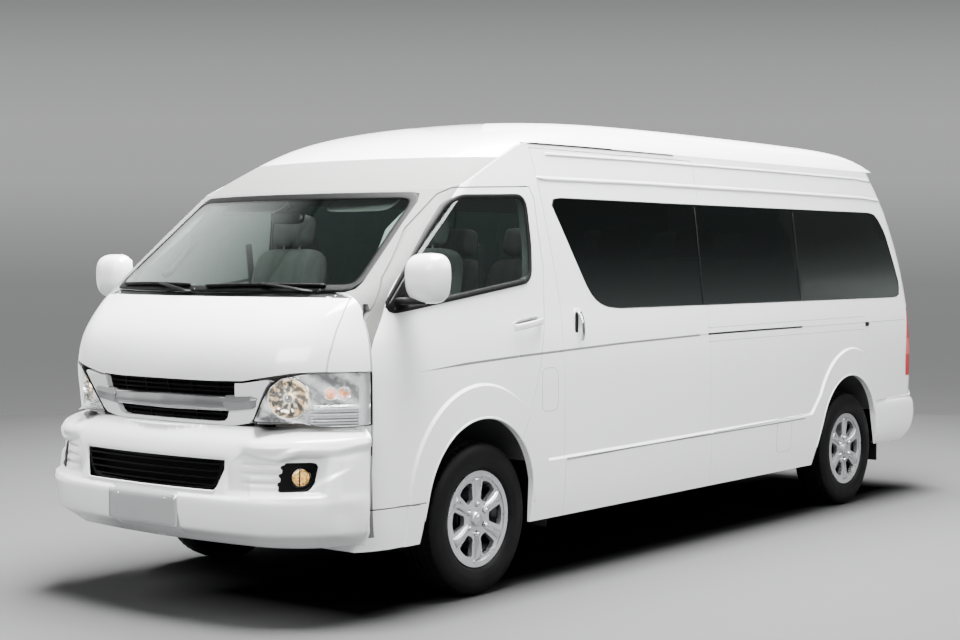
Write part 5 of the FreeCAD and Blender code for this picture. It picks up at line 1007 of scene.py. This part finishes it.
def number_plate(name, y, low):
    """A blank plate in a thin silver frame with two small screws."""
    centre = np.array([0, y, low + 0.067])
    solid(name + "_frame", pillow(centre, X, Z, -Y, 0.222, 0.069, 0.004, 30.0, 5, 64, 0.004), SATIN)
    solid(name + "_face", pillow(centre - 0.002 * Y, X, Z, -Y, 0.216, 0.063, 0.0035, 24.0, 5, 64, 0.002),
          PLATE)
    screws = [pillow(centre + [x, -0.005, 0.048], X, Z, -Y, 0.006, 0.006, 0.003, 2.0, 5, 16,
                     0.002) for x in (-0.15, 0.15)]
    solid(name + "_screws", screws, CHROME)


for hand, side in HANDS:
    side_trim(hand, side)
    if side > 0:
        left_side_only()
    door_handle(hand, side)
    mirror(hand, side)
slide_handle()
windscreen_trim()
number_plate("front_plate", -3.004, 0.404)


# Front bumper
def step(value, low, high):
    """A soft step: t * t * (3 - 2 t) between low and high."""
    t = np.clip((value - low) / (high - low), 0, 1)
    return t * t * (3 - 2 * t)


def ridge(value, middle, half):
    """A round-topped ridge: (1 - d * d) squared inside half of its middle."""
    d = np.clip(abs(value - middle) / half, 0, 1)
    return (1 - d * d) ** 2


def bumper_relief(u, z):
    """How far the bumper's skin stands out from its plain form, by distance from the middle and height.

    A shoulder under each lamp, a brow and a scoop round each fog lamp with three channels, a proud
    lower beam with a flat seat for the plate, and a rolled edge round the grille opening."""
    shoulder_z = np.interp(u, [.48, .51, .58, .67, .74, .80, .90], [.800, .790, .774, .776, .782, .786, .790])
    here = step(u, .49, .56)
    out = 0.015 * here * step(z, shoulder_z - .055, shoulder_z - .012)
    out = out - here * 0.075 * np.clip((z - shoulder_z) / 0.055, 0, 1.2) ** 1.6
    brow_z = np.interp(u, [.49, .54, .62, .70, .77, .86, .93], [.700, .741, .722, .712, .735, .732, .745])
    inside = step(u, .475, .545) * (1 - step(u, .838, .858))
    inside = inside * step(z, .556, .578) * (1 - step(z, brow_z - .016, brow_z))
    out = out - inside * (0.008 + 0.020 * step(u, .50, .71))
    out = out + 0.009 * step(u, .68, .74) * (1 - step(u, .87, .93)) * ridge(z, brow_z + .012, .026)
    channel = sum(ridge(z, k, .011) for k in (.684, .647, .609))
    out = out - 0.0065 * channel * step(u, .515, .60) * (1 - step(u, .70, .712))
    fold = step(u, .845, .866) * (1 - step(u, .90, .93)) * step(z, .47, .56) * (1 - step(z, .70, .75))
    out = out + 0.006 * fold
    edge_z = np.interp(u, [0, .2, .5, .73, .81, .86, .93], [.556, .548, .549, .567, .588, .64, .70])
    beam = (1 - step(z, edge_z - .010, edge_z + .006)) * step(z, .36, .41) * (1 - step(u, .86, .91))
    out = out + beam * 0.014 * step(u, .203, .212)
    out = out - 0.030 * (1 - step(z, .335, .405))
    lip = ridge(z, .632, .092) * (1 - step(u, .455, .49))
    return out - 0.006 * lip


def opening_line():
    """The grille opening's outline in x and z: wide above, narrower below, with round corners."""
    corner = np.array([(.449, .703), (.449, .655), (.418, .575), (.405, .566), (-.405, .566), (-.418, .575),
                       (-.449, .655), (-.449, .703)])
    return resampled(corner, 0.008, True)


def signed_distance(x, z, line):
    """Distance from a closed line, below zero inside it."""
    p, q = line, np.roll(line, -1, 0)
    at = np.stack([x.ravel(), z.ravel()], -1)[:, None]
    along = np.clip(((at - p) * (q - p)).sum(-1) / ((q - p) ** 2).sum(-1), 0, 1)
    near = p + along[..., None] * (q - p)
    gap = np.linalg.norm(at - near, axis=-1)
    k = gap.argmin(1)
    rows = np.arange(len(k))
    share = (at[..., 1] - p[:, 1]) / (q[:, 1] - p[:, 1] + 1e-12)
    spans = (p[:, 1] > at[..., 1]) != (q[:, 1] > at[..., 1])
    crossing = spans & (at[..., 0] < (q[:, 0] - p[:, 0]) * share + p[:, 0])
    sign = np.where(crossing.sum(1) % 2 == 1, -1.0, 1.0)
    return (gap[rows, k] * sign).reshape(x.shape), near[rows, k].reshape(x.shape + (2,))


def filled(values, good):
    """Values along each column, with the gaps bridged by straight lines."""
    out = values.copy()
    rows = np.arange(values.shape[0])
    for c in range(values.shape[1]):
        ok = good[:, c]
        if ok.sum() > 1:
            out[:, c] = np.interp(rows, rows[ok], values[ok, c])
    return out


def bumper_skin():
    """The bumper as rays from a middle point: the plain form plus the relief, by angle and height."""
    tree = tree_of("front_bumper")
    hub = np.array([0.0, -2.30])
    turn = np.radians(np.linspace(-74.1, 74.1, 340))
    rows = np.linspace(0.333, 0.826, 112)
    way = np.stack([np.sin(turn), -np.cos(turn)], -1)
    radius = np.full((len(rows), len(turn)), np.nan)
    for i, z in enumerate(rows):
        for j, d in enumerate(way):
            hit = tree.ray_cast(Vector((hub[0] + d[0] * 1.6, hub[1] + d[1] * 1.6, z)),
                                Vector((-d[0], -d[1], 0)))
            if hit[0]:
                radius[i, j] = 1.6 - hit[3]
    z = rows[:, None] + 0 * turn
    x = radius * way[:, 0]
    plain_radius = np.interp(abs(np.degrees(turn)), [0, 40, 50, 60, 74], [0.69, 0.87, 1.0, 1.02, 0.96])
    guess = (plain_radius * np.sin(turn))[None]
    u = abs(np.where(np.isnan(x), guess, x))
    grille_hole = (z > .545) & (z < .722) & (u < .47)
    fog_hole = (z > .548) & (z < .722) & (u > .58) & (u < .885)
    bad = np.isnan(radius) | grille_hole | fog_hole | (radius < 0.62)
    radius = filled(radius, ~bad)
    whole_columns = np.where(~np.isnan(radius).any(0))[0]
    nearest = abs(np.arange(len(turn))[:, None] - whole_columns[None]).argmin(1)
    radius = radius[:, whole_columns[nearest]]
    for _ in range(3):
        radius[1:-1] = (radius[:-2] + 2 * radius[1:-1] + radius[2:]) / 4
    u = abs(radius * way[:, 0])
    radius = radius + bumper_relief(u, z)
    point = np.stack([radius * way[:, 0], hub[1] + radius * way[:, 1], z], -1)
    line = opening_line()
    gap, near = signed_distance(point[..., 0], z, line)
    snap = (abs(gap) < 0.0045) & (point[..., 1] < -2.8)
    point[..., 0] = np.where(snap, near[..., 0], point[..., 0])
    point[..., 2] = np.where(snap, near[..., 1], point[..., 2])
    inside = (gap < 0) | snap
    faces = np.array(grid_faces(*z.shape))
    keep = ~(inside.ravel()[faces].all(1) & (point[..., 1].ravel()[faces].min(1) < -2.8))
    ledge_depth = np.interp(abs(np.degrees(turn)), [0, 35, 45, 74], [0.10, 0.12, 0.20, 0.03])
    t = np.array([0.06, 0.25, 0.6, 1.0])[:, None, None]
    level_way = np.concatenate([way, np.zeros((len(turn), 1))], -1)
    ledge = point[-1][None] - t * (level_way * ledge_depth[:, None])[None]
    ledge[..., 2] += 0.004
    foot = point[0][None] - t[::-1] * (level_way * 0.045)[None]
    whole = np.concatenate([foot, point, ledge])
    n_foot, m = len(foot), len(turn)
    body_faces = faces[keep] + n_foot * m
    foot_faces = np.array(grid_faces(n_foot + 1, m))
    top_faces = np.array(grid_faces(len(ledge) + 1, m)) + (n_foot + len(rows) - 1) * m
    obj = mesh_of("bumper_skin", whole, np.concatenate([foot_faces, body_faces, top_faces]).tolist())
    facing(cleaned(obj, False), -Y)
    dressed(obj, PAINT, wall=0.004)
    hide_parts("front_bumper")
    return BVHTree.FromObject(obj, bpy.context.evaluated_depsgraph_get())


def on_bumper(tree, x, z):
    """Points and outward ways on the sculpted bumper at arrays of x and z, met square to its plan."""
    x, z = np.broadcast_arrays(np.asarray(x, float), np.asarray(z, float))
    points, ways = [], []
    for a, b in zip(x.ravel(), z.ravel()):
        hit, normal = tree.ray_cast(Vector((a, -4.0, b)), Vector((0, 1, 0)))[:2]
        hit = hit or Vector((a, -2.8, b))
        points.append(hit)
        ways.append(normal or Vector((0, -1, 0)))
    return np.array(points).reshape(x.shape + (3,)), np.array(ways).reshape(x.shape + (3,))


def grille_lip(tree):
    """A rolled painted edge round the grille opening."""
    line = opening_line()
    p = np.concatenate([line[:, :1], np.zeros((len(line), 1)), line[:, 1:]], 1)
    outer = pulled_in(line, -0.012)
    skin = on_bumper(tree, outer[:, 0], outer[:, 1])[0]
    p[:, 1] = skin[:, 1] + 0.004
    grid = swept(p, circle(0.0055, 8), (0, -1, 0), True)
    solid("opening_lip", grid, PAINT, closed=True)


def fog_bezel(tree, hand, side):
    """A black frame on the scoop's floor with a toothed edge, pressed in round the lamp, and the fog lamp."""
    outline = np.array([(.708, .698), (.790, .700), (.806, .696), (.812, .682), (.806, .592), (.796, .580),
                        (.700, .575), (.689, .580), (.692, .598), (.684, .602), (.684, .614), (.695, .618),
                        (.695, .634), (.686, .638), (.686, .650), (.698, .654), (.698, .670), (.690, .674),
                        (.692, .686), (.704, .689)])
    x, z = fan(resampled(outline, 0.003, True), np.array([.757, .637]), 0, 1, 26)
    skin, ways = on_bumper(tree, side * x, z)
    out = unit(ways.mean((0, 1)))
    d = np.hypot((x - .764) / .031, (z - .637) / .038)
    lift = 0.0035 - 0.008 * (1 - step(d, .86, 1.06)) + 0.0025 * ridge(d, 1.12, .16)
    lift[-1] = -0.004
    face = skin + out * lift[..., None]
    obj = dressed(sheet("fog_bezel_" + hand, face, (side, -1, 0), True), GRILLE_BLACK, wall=0.003)
    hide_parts("fog_lamps")
    centre = on_bumper(tree, side * .764, .637)[0] - out * 0.002
    across = unit(np.cross(Z, out))
    up = np.cross(out, across)
    solid("fog_lens_" + hand, pillow(centre, across, up, out, .037, .037, 0.006, 2.0, 14, 48, 0.002),
          FOG_GOLD)
    path = centre + circle(.0385, 48) @ np.array([across, up]) + out * 0.001
    solid("fog_ring_" + hand, swept(path, circle(0.003, 8), out, True), TRIM_BLACK, closed=True)
    shade = centre + np.array([up * .035 + out * .003, out * .0075, -up * .035 + out * .003])
    shade += across * side * -0.004
    bar("fog_shade_" + hand, resampled(shade, 0.004), circle(0.0028, 8), Z, TRIM_BLACK)


def shade_backs():
    """Near-black matt panels close behind the openings, which hide the nose's painted inside: painted shade
    for the dark behind the grille.
    """
    for name, y, half, low, high in (("grille_back", -2.750, .560, .810, 1.026),
                                     ("low_grille_back", -2.902, .500, .545, .715)):
        solid(name, pillow([0, y, (low + high) / 2], X, Z, (0, -1, 0), half, (high - low) / 2, .002, 30.0,
                           4, 48, .003), GRILLE_BLACK)


def silver_bar():
    """The bar between the two openings: a full, blunt section that bows with the nose."""
    x = np.linspace(-.47, .37, 60)
    low = np.interp(x, [-.47, 0, .37], [.902, .896, .896])
    high = np.interp(x, [-.47, 0, .37], [.946, .958, .956])
    nose = np.interp(abs(x), [0, .2, .37, .47], [-2.890, -2.881, -2.852, -2.818])
    a = np.linspace(-np.pi / 2, np.pi / 2, 13)[None]
    mid, half = ((low + high) / 2)[:, None], ((high - low) / 2)[:, None]
    front = np.stack([x[:, None] + 0 * a, nose[:, None] + .022 * (1 - np.cos(a) ** .55),
                      mid + half * np.sin(a)], -1)
    back = front[:, [-1, 0]] + [0, .030, 0]
    piece = solid("silver_bar", capped(np.concatenate([front, back], 1)), BAR)
    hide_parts("grille_bar")


def bar_tip(hand, side):
    """The plated end of the bar: a wedge with a ridge along its middle that narrows to a point."""
    x = np.array([.352, .362, .50, .555])
    low = np.array([.893, .894, .908, .946])
    high = np.array([.958, .962, .972, .968])
    y = np.array([-2.850, -2.858, -2.836, -2.800])
    mid = low * 0.42 + high * 0.58
    ring = np.stack([np.stack([x, y + .012, high], -1), np.stack([x, y - .008, mid], -1),
                     np.stack([x, y + .010, low], -1), np.stack([x, y + .050, (low + high) / 2], -1)], 1)
    ring[..., 0] *= side
    solid("bar_tip_" + hand, capped(ring), BAR, smooth=False, round_edge=0.0015)


def fog_gold():
    """The fog lamp's warm glass: bright spots near its middle, and darker in a broken outer ring."""
    finish = Finish("fog_gold", (0.9, 0.72, 0.4), 0.14, Metallic=0.4, Coat_Weight=0.3, Emission_Strength=1.0)
    x, z = finish.place()[1][::2]
    run, rise = x.math("ABSOLUTE") - 0.770, z - 0.637
    far = (run * run + rise * rise).math("SQRT")
    spots = finish.noise(120.0, 1.0).ramp(0.42, 0.66)
    rim = finish.mixed(spots, (0.10, 0.05, 0.01), (0.9, 0.48, 0.13))
    core = finish.mixed(spots, (0.75, 0.36, 0.06), (1.9, 1.15, 0.35))
    finish.feed("Emission Color", finish.mixed(far.ramp(0.012, 0.028), core, rim))
    return finish.feed("Base Color", finish.mixed(spots, (0.25, 0.13, 0.03), (0.55, 0.36, 0.14))).material


FOG_GOLD = fog_gold()
BUMPER = bumper_skin()
grille_lip(BUMPER)
# Black panels behind the grille openings: painted shade.
shade_backs()
silver_bar()
for hand, side in HANDS:
    fog_bezel(BUMPER, hand, side)
    bar_tip(hand, side)


# Seats and cabin
def cushion_form(centre, u, v, w, half_u, half_v, crown, base, seams=()):
    """A foam pad: a superellipse outline, crowned by crown * (1 - r^4)^0.5, with sewn channels.

    It is raised along both sides, and its sides bulge a little past the flat back, as stuffed edges do."""
    a = np.arange(64) * 2 * np.pi / 64
    scale = (abs(np.cos(a)) ** 5 + abs(np.sin(a)) ** 5) ** (-1 / 5)
    r = np.sin(np.linspace(0, np.pi / 2, 18))[:, None]
    across, along = r * scale * np.cos(a), r * scale * np.sin(a)
    high = crown * np.sqrt(np.clip(1 - r ** 4, 0, 1))
    high = high + crown * 0.35 * np.exp(-((abs(across) - 0.74) / 0.16) ** 2) * (1 - r ** 8)
    for place in seams:
        high = high - 0.006 * np.exp(-((along - place) / 0.03) ** 2) * (abs(across) < 0.62)
    high = high - 0.006 * np.exp(-((abs(across) - 0.60) / 0.03) ** 2) * (1 - r ** 8)
    u, v, w = (np.asarray(k, float) for k in (u, v, w))
    top = (centre + (across * half_u)[..., None] * u + (along * half_v)[..., None] * v
           + (high + 0 * across)[..., None] * w)
    t = np.array([1.02, 1.02, 0.97])[:, None]
    drop = np.array([-0.35, -0.75, -1.0])[:, None] * base
    side = (centre + (t * scale * np.cos(a) * half_u)[..., None] * u
            + (t * scale * np.sin(a) * half_v)[..., None] * v + (drop + 0 * a)[..., None] * w)
    end = np.repeat((centre - base * w)[None, None], len(a), 1)
    return np.concatenate([top, side, end])


def seat(tag, x, y, top, width, foot_x, foot_half, node):
    """Cushion, raked back and headrest on two stems, over a moulded base; the CAD pads stay hidden."""
    lean = math.radians(14.0)
    up = np.array([0, math.sin(lean), math.cos(lean)])
    out = np.array([0, -math.cos(lean), math.sin(lean)])
    low = cushion_form([x, y + .228, top - .060], X, Y, Z, width / 2 - .006, .226, .058, .062,
                       (-.35, .1, .5))
    hinge = np.array([x, y + .470, top])
    middle = hinge + up * .232 + out * .052
    back = cushion_form(middle, (-1, 0, 0), up, out, width / 2 - .008, .278, .052, .048, (-.45, -.1, .25))
    rest_middle = hinge + up * .608 + out * .058
    rest = cushion_form(rest_middle, (-1, 0, 0), up, out, .120, .080, .042, .036)
    for form, name in ((low, "cushion_"), (back, "backrest_"), (rest, "headrest_")):
        piece = solid(name + tag, form, CLOTH)
        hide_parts(node)
    stem = hinge + np.array([up * .46 + out * .045, up * .56 + out * .050])
    solid("stems_" + tag, [capped(swept(stem + k * X, circle(.006), X)) for k in (-.055, .055)], STEEL)
    shell = pillow(hinge + up * .232 + out * .002, X, up, -out, width / 2 - .02, .262, .010, 6.0, 6, 48,
                   .003)
    tray = pillow([x, y + .235, top - .124], X, Y, (0, 0, -1), width / 2 - .03, .205, .012, 8.0, 5, 48,
                  .004)
    foot = np.array([[-foot_half, 0], [foot_half, 0], [foot_half, .05], [-foot_half, .05]]) + [foot_x, y]
    ends = np.array([.648, top - .128])[:, None, None]
    legs = [capped(np.concatenate([foot + [0, k] + 0 * ends, ends + np.zeros((1, 4, 1))],
                                  -1)) for k in (.05, .33)]
    solid("seat_frame_" + tag, [shell, tray, *legs], CABIN, slot="black_trim", round_edge=0.002)


for hand, side in HANDS:
    seat("front_" + hand, side * .44, -2.185, 1.085, .49, side * .52, .12, "front_seats")
for row in range(4):
    for tag, x, foot in (("a", -.56, -.42), ("b", -.09, -.09), ("c", .56, .40)):
        seat("%d%s" % (row + 1, tag), x, -.715 + .78 * row, 1.036, .43, foot, .038, "rear_seats")


def headliner():
    """Pale board under the roof: each point is the roof's own underside, dropped by its gap."""
    tree = tree_of("roof_cap", "body_shell")
    y, x = np.linspace(-1.80, 2.42, 60), np.linspace(-.70, .70, 31)
    grid = np.zeros((len(y), len(x), 3))
    for i, b in enumerate(y):
        for j, a in enumerate(x):
            hit = tree.ray_cast(Vector((a, b, 1.80)), Vector((0, 0, 1)))[0]
            grid[i, j] = (a, b, (hit.z if hit else 2.1) - 0.012)
    for _ in range(4):
        grid[1:-1, :, 2] = np.minimum(grid[1:-1, :, 2], (grid[:-2, :, 2] + grid[2:, :, 2]) / 2)
    dressed(sheet("headliner", grid, -Z), CABIN_LIGHT, wall=0.003)


def cabin_details():
    """Inner mirror, visors, belts, pillar grips, the gauges' hood and the centre panel."""
    solid("inner_mirror", pillow([-0.03, -2.07, 1.735], X, (0, .2, .98), (0, .98, -.2), .100, .026, .004,
                                 5.0, 6, 48, .010), MIRROR)
    solid("inner_mirror_case", pillow([-0.03, -2.078, 1.737], X, (0, .2, .98), (0, -.98, .2), .107, .031,
                                      .016, 4.0, 6, 48, .004), TRIM_BLACK)
    stem = np.array([[-.03, -2.09, 1.745], [-.03, -2.075, 1.77], [-.03, -2.05, 1.79]])
    bar("inner_mirror_stem", stem, circle(.009), Z, TRIM_BLACK)
    for hand, side in HANDS:
        solid("visor_" + hand, pillow([side * .36, -1.975, 1.792], X, (0, .75, .42), (0, .42, -.75), .20,
                                      .075, .008, 5.0, 6, 48, .008), CABIN_LIGHT)
        belt = np.array([[side * .775, -1.62, 1.62], [side * .762, -1.60, 1.35], [side * .745, -1.62, 1.02]])
        bar("belt_" + hand, resampled(belt, .02), slab(.046, .003, .5), side * X, BLACK, slot="seat_cloth")
        grip = np.array([[side * .735, -2.235, 1.46], [side * .700, -2.225, 1.475],
                         [side * .680, -2.165, 1.545], [side * .665, -2.105, 1.615],
                         [side * .690, -2.075, 1.655]])
        bar("pillar_grip_" + hand, resampled(grip, .012), slab(.030, .020, .6), X, CABIN)
    solid("gauge_hood", pillow([-.44, -2.40, 1.368], X, Y, Z, .20, .11, .055, 3.0, 8, 48, .02), CABIN)
    solid("centre_panel", pillow([.0, -2.215, 1.16], X, (0, .2, .98), (0, .98, -.2), .15, .16, .018, 5.0, 6,
                                 48, .02), TRIM_BLACK, slot="cabin_plastic")


def cowl():
    """The black panel between the bonnet's edge and the windscreen's foot, crowned a little."""
    x = np.linspace(-.765, .765, 72)
    edge = np.interp(abs(x), [0, .4, .6, .67, .687, .74, .77],
                     [-2.687, -2.648, -2.598, -2.575, -2.569, -2.556, -2.543])
    foot = np.interp(abs(x), [0, .4, .6, .67, .74, .78], [-2.659, -2.619, -2.555, -2.532, -2.505, -2.488])
    foot_z = np.interp(abs(x), [0, .6, .74], [1.395, 1.402, 1.402])
    t = np.linspace(0, 1, 7)[:, None]
    y = (edge + .010) * (1 - t) + (foot + .012) * t
    z = 1.362 * (1 - t) + foot_z * t + .006 * np.sin(np.pi * t)
    dressed(sheet("cowl_panel", np.stack([x + 0 * t, y, z], -1), Z), BLACK, wall=0.004)


headliner()
cabin_details()
cowl()


# Arches, seams and rear end
def arch_edge(axle, count=72):
    """The arch's edge on the side skin: for each angle, the radius where a level ray first meets the skin."""
    points = []
    for deg in np.linspace(-84, 84, count):
        a = math.radians(deg)
        low, high = .38, .62
        for _ in range(9):
            r = (low + high) / 2
            start = Vector((2.0, axle + r * math.sin(a), AXLE_Z + r * math.cos(a)))
            hit = SIDE.ray_cast(start, Vector((-1, 0, 0)))[0]
            if hit and hit.x > .86:
                high = r
            else:
                low = r
        points.append((axle + high * math.sin(a), AXLE_Z + high * math.cos(a)))
    return np.array(points)


def arch_lip(name, axle, side):
    """A rolled edge round the wheel opening."""
    line = arch_edge(axle)
    line[1:-1] = (line[:-2] + line[1:-1] * 2 + line[2:]) / 4
    middle = np.array([axle, AXLE_Z])
    outer = line + unit(line - middle) * .010
    on_skin = on_side(outer[:, 0], outer[:, 1], side)
    path = np.stack([on_skin[:, 0] - side * .003, line[:, 0], line[:, 1]], -1)
    bar(name, path, circle(.0065, 10), X, PAINT)


def arch_liner(hand, side):
    """A black splash liner behind the front wheel: part of a drum of radius 0.545 m round the axle."""
    a = np.radians(np.linspace(52, 101, 24))[:, None]
    x = np.array([.50, .872])[None]
    grid = np.stack([side * x + 0 * a, FRONT_AXLE + .545 * np.sin(a) + 0 * x,
                     AXLE_Z + .545 * np.cos(a) + 0 * x], -1)
    obj = mesh_of("arch_liner_" + hand, grid, grid_faces(24, 2))
    dressed(obj, BLACK, wall=0.003)


def side_seams(hand, side):
    """Two thin dark lines, almost flush: a seam under the door, and painted shade along the skirt; and the
    arches' edges.
    """
    skirt = fit([(.625, .569), (1.6, .585), (2.6, .603), (3.12, .613)])
    doorstep = fit([(-.60, .478), (-.50, .476), (-.46, .474)])
    for name, line in (("skirt_line_", skirt), ("step_seam_", doorstep)):
        side_strip(name + hand, side, line, 0.0025, 0.0006, GROOVE, step=0.02)
    for axle, tag in ((FRONT_AXLE, "front"), (REAR_AXLE, "rear")):
        arch_lip("arch_lip_%s_%s" % (tag, hand), axle, side)


for hand, side in HANDS:
    side_seams(hand, side)
    arch_liner(hand, side)


def rail_end():
    """The black stop block at the rear end of the slide rail."""
    at = on_side(3.93 + FRONT_AXLE, 1.132)
    solid("rail_stop", pillow(at + [0.001, 0, 0], Y, Z, X, .022, .014, .010, 5.0, 6, 32, .004), BLACK)


def rear_end():
    """The tailgate's pull, the brake lamp over its glass and its wiper."""
    skin = on_end(np.linspace(-.16, .16, 12), np.full(12, 1.075), True)
    path = skin + np.stack([0 * skin[:, 0], .006 + .014 * np.sin(np.pi * np.linspace(.08, .92, 12)),
                            0 * skin[:, 0]], -1)
    bar("gate_pull", path, slab(.034, .014, .5), Y, BLACK, "rear_gate")
    skin = on_end(np.linspace(-.13, .13, 12), np.full(12, 1.925), True)
    bar("high_brake_lamp", skin + [0, .004, 0], slab(.030, .016, .5), Y, RED, "rear_gate")
    p = on_end(0.0, 1.245, True)
    solid("gate_wiper_cap", pillow(p - [0, .002, 0], X, Z, Y, .020, .020, .026, 2.0, 8, 24, .004), BLACK,
          "rear_gate")
    t = np.linspace(0, 1, 14)
    off = .022 + .006 * np.sin(np.pi * t)
    arm = on_end(.30 * t, 1.25 + .085 * t, True) + off[:, None] * Y
    bar("gate_wiper_arm", arm, slab(.014, .007, .6), Y, BLACK, "rear_gate")
    t = np.linspace(-1, 1, 20)
    blade = on_end(.30 + .20 * t, 1.335 + .02 * t, True) + [0, .010, 0]
    bar("gate_wiper_blade", blade, slab(.012, .013, .7), Y, SEAL, "rear_gate")


rail_end()
rear_end()

# Stage: distance from the camera to where the near floor ends and to the wall, far behind the vehicle
WALL_AWAY, FAR_AWAY = 16.8, 48.0
# Half the stage's breadth and the wall's height as they read at WALL_AWAY, and the scale that keeps them so
WALL_HALF, WALL_TOP, SPREAD = 30.0, 14.0, FAR_AWAY / WALL_AWAY
FLOOR_HALF = 60.0
# The painted shadow under the vehicle: middle and half of its core in x and y, and the width of its soft edge
SHADOW_X, SHADOW_Y, SHADOW_SOFT = (0.32, 0.40), (0.20, 2.60), 0.45
CARD = 2.0
# The backdrop's greys by height, over 5 m: painted light, brightest about 2.3 to 2.9 m up and darker at the
# foot and top
STOPS = [(0.0, (0.225, 0.226, 0.228)), (0.26, (0.24, 0.242, 0.245)), (0.348, (0.314, 0.316, 0.318)),
         (0.468, (0.434, 0.437, 0.44)), (0.586, (0.445, 0.447, 0.45)), (0.706, (0.37, 0.373, 0.376)),
         (0.816, (0.254, 0.256, 0.258)), (1.0, (0.19, 0.19, 0.19))]
# Name, place, point that it faces, size and watts
LIGHTS = [("light_top", (0.2, -0.3, 7.5), (0, 0, 1), (4, 8), 8500),
          ("light_front", (2.0, -11.0, 5.2), (0, -2, 1.0), (6, 3), 1000),
          ("light_left", (8.5, 2.4, 5.2), (0, 0.8, 1.0), (9, 3), 900),
          ("light_cabin", (0.0, -1.75, 1.80), (0, -1.9, 1.0), (1.0, 0.3), 2),
          ("light_cabin_rear", (0.0, 0.6, 2.02), (0, 0.6, 1.0), (0.6, 3.0), 6),
          ("light_rear", (-4.0, 9.0, 5.0), (0, 1, 1), (6, 4), 300)]
EYE = np.array(CAMERA_PLACE)
TURN = math.radians(CAMERA_TURN)
AHEAD = np.array([-math.sin(TURN), math.cos(TURN), 0.0])
RIGHT = np.array([math.cos(TURN), math.sin(TURN), 0.0])


def staged(name, grid, finish):
    """A piece of the stage over a grid of points."""
    obj = mesh_of(name, grid, grid_faces(*grid.shape[:2]))
    obj.data.materials.append(finish.material)
    return obj


def stage_finish(name, color, strength):
    """A dull surface that shines by its emission colour."""
    return Finish(name, (color,) * 3, 0.9, Specular_IOR_Level=0.0, Emission_Strength=strength)


def wall_tone(finish, height):
    """The backdrop's grey at a height in metres, as it reads where the near floor ends."""
    return Value(finish.tree, finish.node("ValToRGB", _0=height.ramp(0.0, 5.0), stops=STOPS).outputs[0])


def camera():
    """The photo's own camera."""
    data = bpy.data.cameras.new("camera")
    data.lens, data.sensor_width = LENS, 36.0
    eye = linked("camera", data)
    eye.location = CAMERA_PLACE
    eye.rotation_euler = (math.radians(CAMERA_TILT), 0, TURN)
    bpy.context.scene.camera = eye


def floor():
    """Pale floor with a painted shadow under the vehicle. Past WALL_AWAY it takes the backdrop's grey."""
    finish = stage_finish("stage_floor", 0.10, 1.0)
    x, y = finish.place()[1][:2]
    off_x = ((x - SHADOW_X[0]).math("ABSOLUTE") - SHADOW_X[1]).math("MAXIMUM", 0.0)
    off_y = ((y - SHADOW_Y[0]).math("ABSOLUTE") - SHADOW_Y[1]).math("MAXIMUM", 0.0)
    shade = (off_x * off_x + off_y * off_y).math("SQRT").ramp(0.0, SHADOW_SOFT)
    far = ((x - EYE[0]) * AHEAD[0] + (y - EYE[1]) * AHEAD[1]).math("MAXIMUM", 1.0)
    beyond = far.above(WALL_AWAY)
    level = 1 - far.math("POWER", -1.0) * WALL_AWAY
    # Near black over the patch under the vehicle: a painted shadow.
    near_tone = finish.mixed(shade, (0.002, 0.002, 0.002), (0.084, 0.084, 0.085))
    finish.feed("Base Color", finish.mixed(beyond, near_tone, (0.02, 0.02, 0.02)))
    # Past WALL_AWAY the floor's emission carries the backdrop's painted light.
    finish.feed("Emission Color", finish.mixed(beyond, (0, 0, 0), wall_tone(finish, level * EYE[2])))
    a = np.linspace(-FLOOR_HALF, FLOOR_HALF, 3)
    staged("stage_floor", a[:, None, None] * X + a[None, :, None] * Y, finish)


def backdrop():
    """The grey wall, its emission painted light: its tones follow the height at which they read at WALL_AWAY.
    """
    finish = stage_finish("stage_wall", 0.02, 1.0)
    z = finish.place()[1][2]
    finish.feed("Emission Color", wall_tone(finish, (z - EYE[2]) * (1 / SPREAD) + EYE[2]))
    along = np.linspace(-WALL_HALF, WALL_HALF, 3)[:, None, None] * SPREAD
    high = np.array([-0.01, EYE[2] + (WALL_TOP - EYE[2]) * SPREAD])[None, :, None]
    staged("stage_wall", EYE * [1, 1, 0] + AHEAD * FAR_AWAY + along * RIGHT + high * Z, finish)


def card():
    """A pale card to the vehicle's right that only mirrors see."""
    finish = stage_finish("stage_card", 0.02, CARD)
    high = finish.place()[1][2]
    fade = finish.node("ValToRGB", _0=high.ramp(0.0, 8.5),
                       stops=[(0.0, (1, 1, 1)), (0.4, (0.85, 0.85, 0.85)), (1.0, (0, 0, 0))])
    finish.feed("Emission Color", finish.out(fade))
    y, z = np.array([-8.0, 4.5])[:, None, None], np.array([0.2, 8.5])[None, :, None]
    obj = staged("stage_card", -5.0 * X + y * Y + z * Z, finish)
    obj.visible_camera = obj.visible_diffuse = obj.visible_shadow = False


def lights():
    """A dim sky and soft boxes that the camera doesn't see."""
    world = bpy.data.worlds.new("studio")
    bpy.context.scene.world = world
    world.use_nodes = True
    sky = world.node_tree.nodes["Background"].inputs
    sky[0].default_value, sky[1].default_value = (0.9, 0.92, 0.94, 1), 0.16
    for name, place, target, size, power in LIGHTS:
        data = bpy.data.lights.new(name, "AREA")
        data.shape, data.size, data.size_y, data.energy = "RECTANGLE", size[0], size[1], power
        lamp = linked(name, data)
        lamp.location = place
        lamp.visible_camera = False
        lamp.visible_glossy = "cabin" not in name
        lamp.rotation_euler = (Vector(target) - Vector(place)).to_track_quat("-Z", "Y").to_euler()


camera()
floor()
backdrop()
card()
lights()
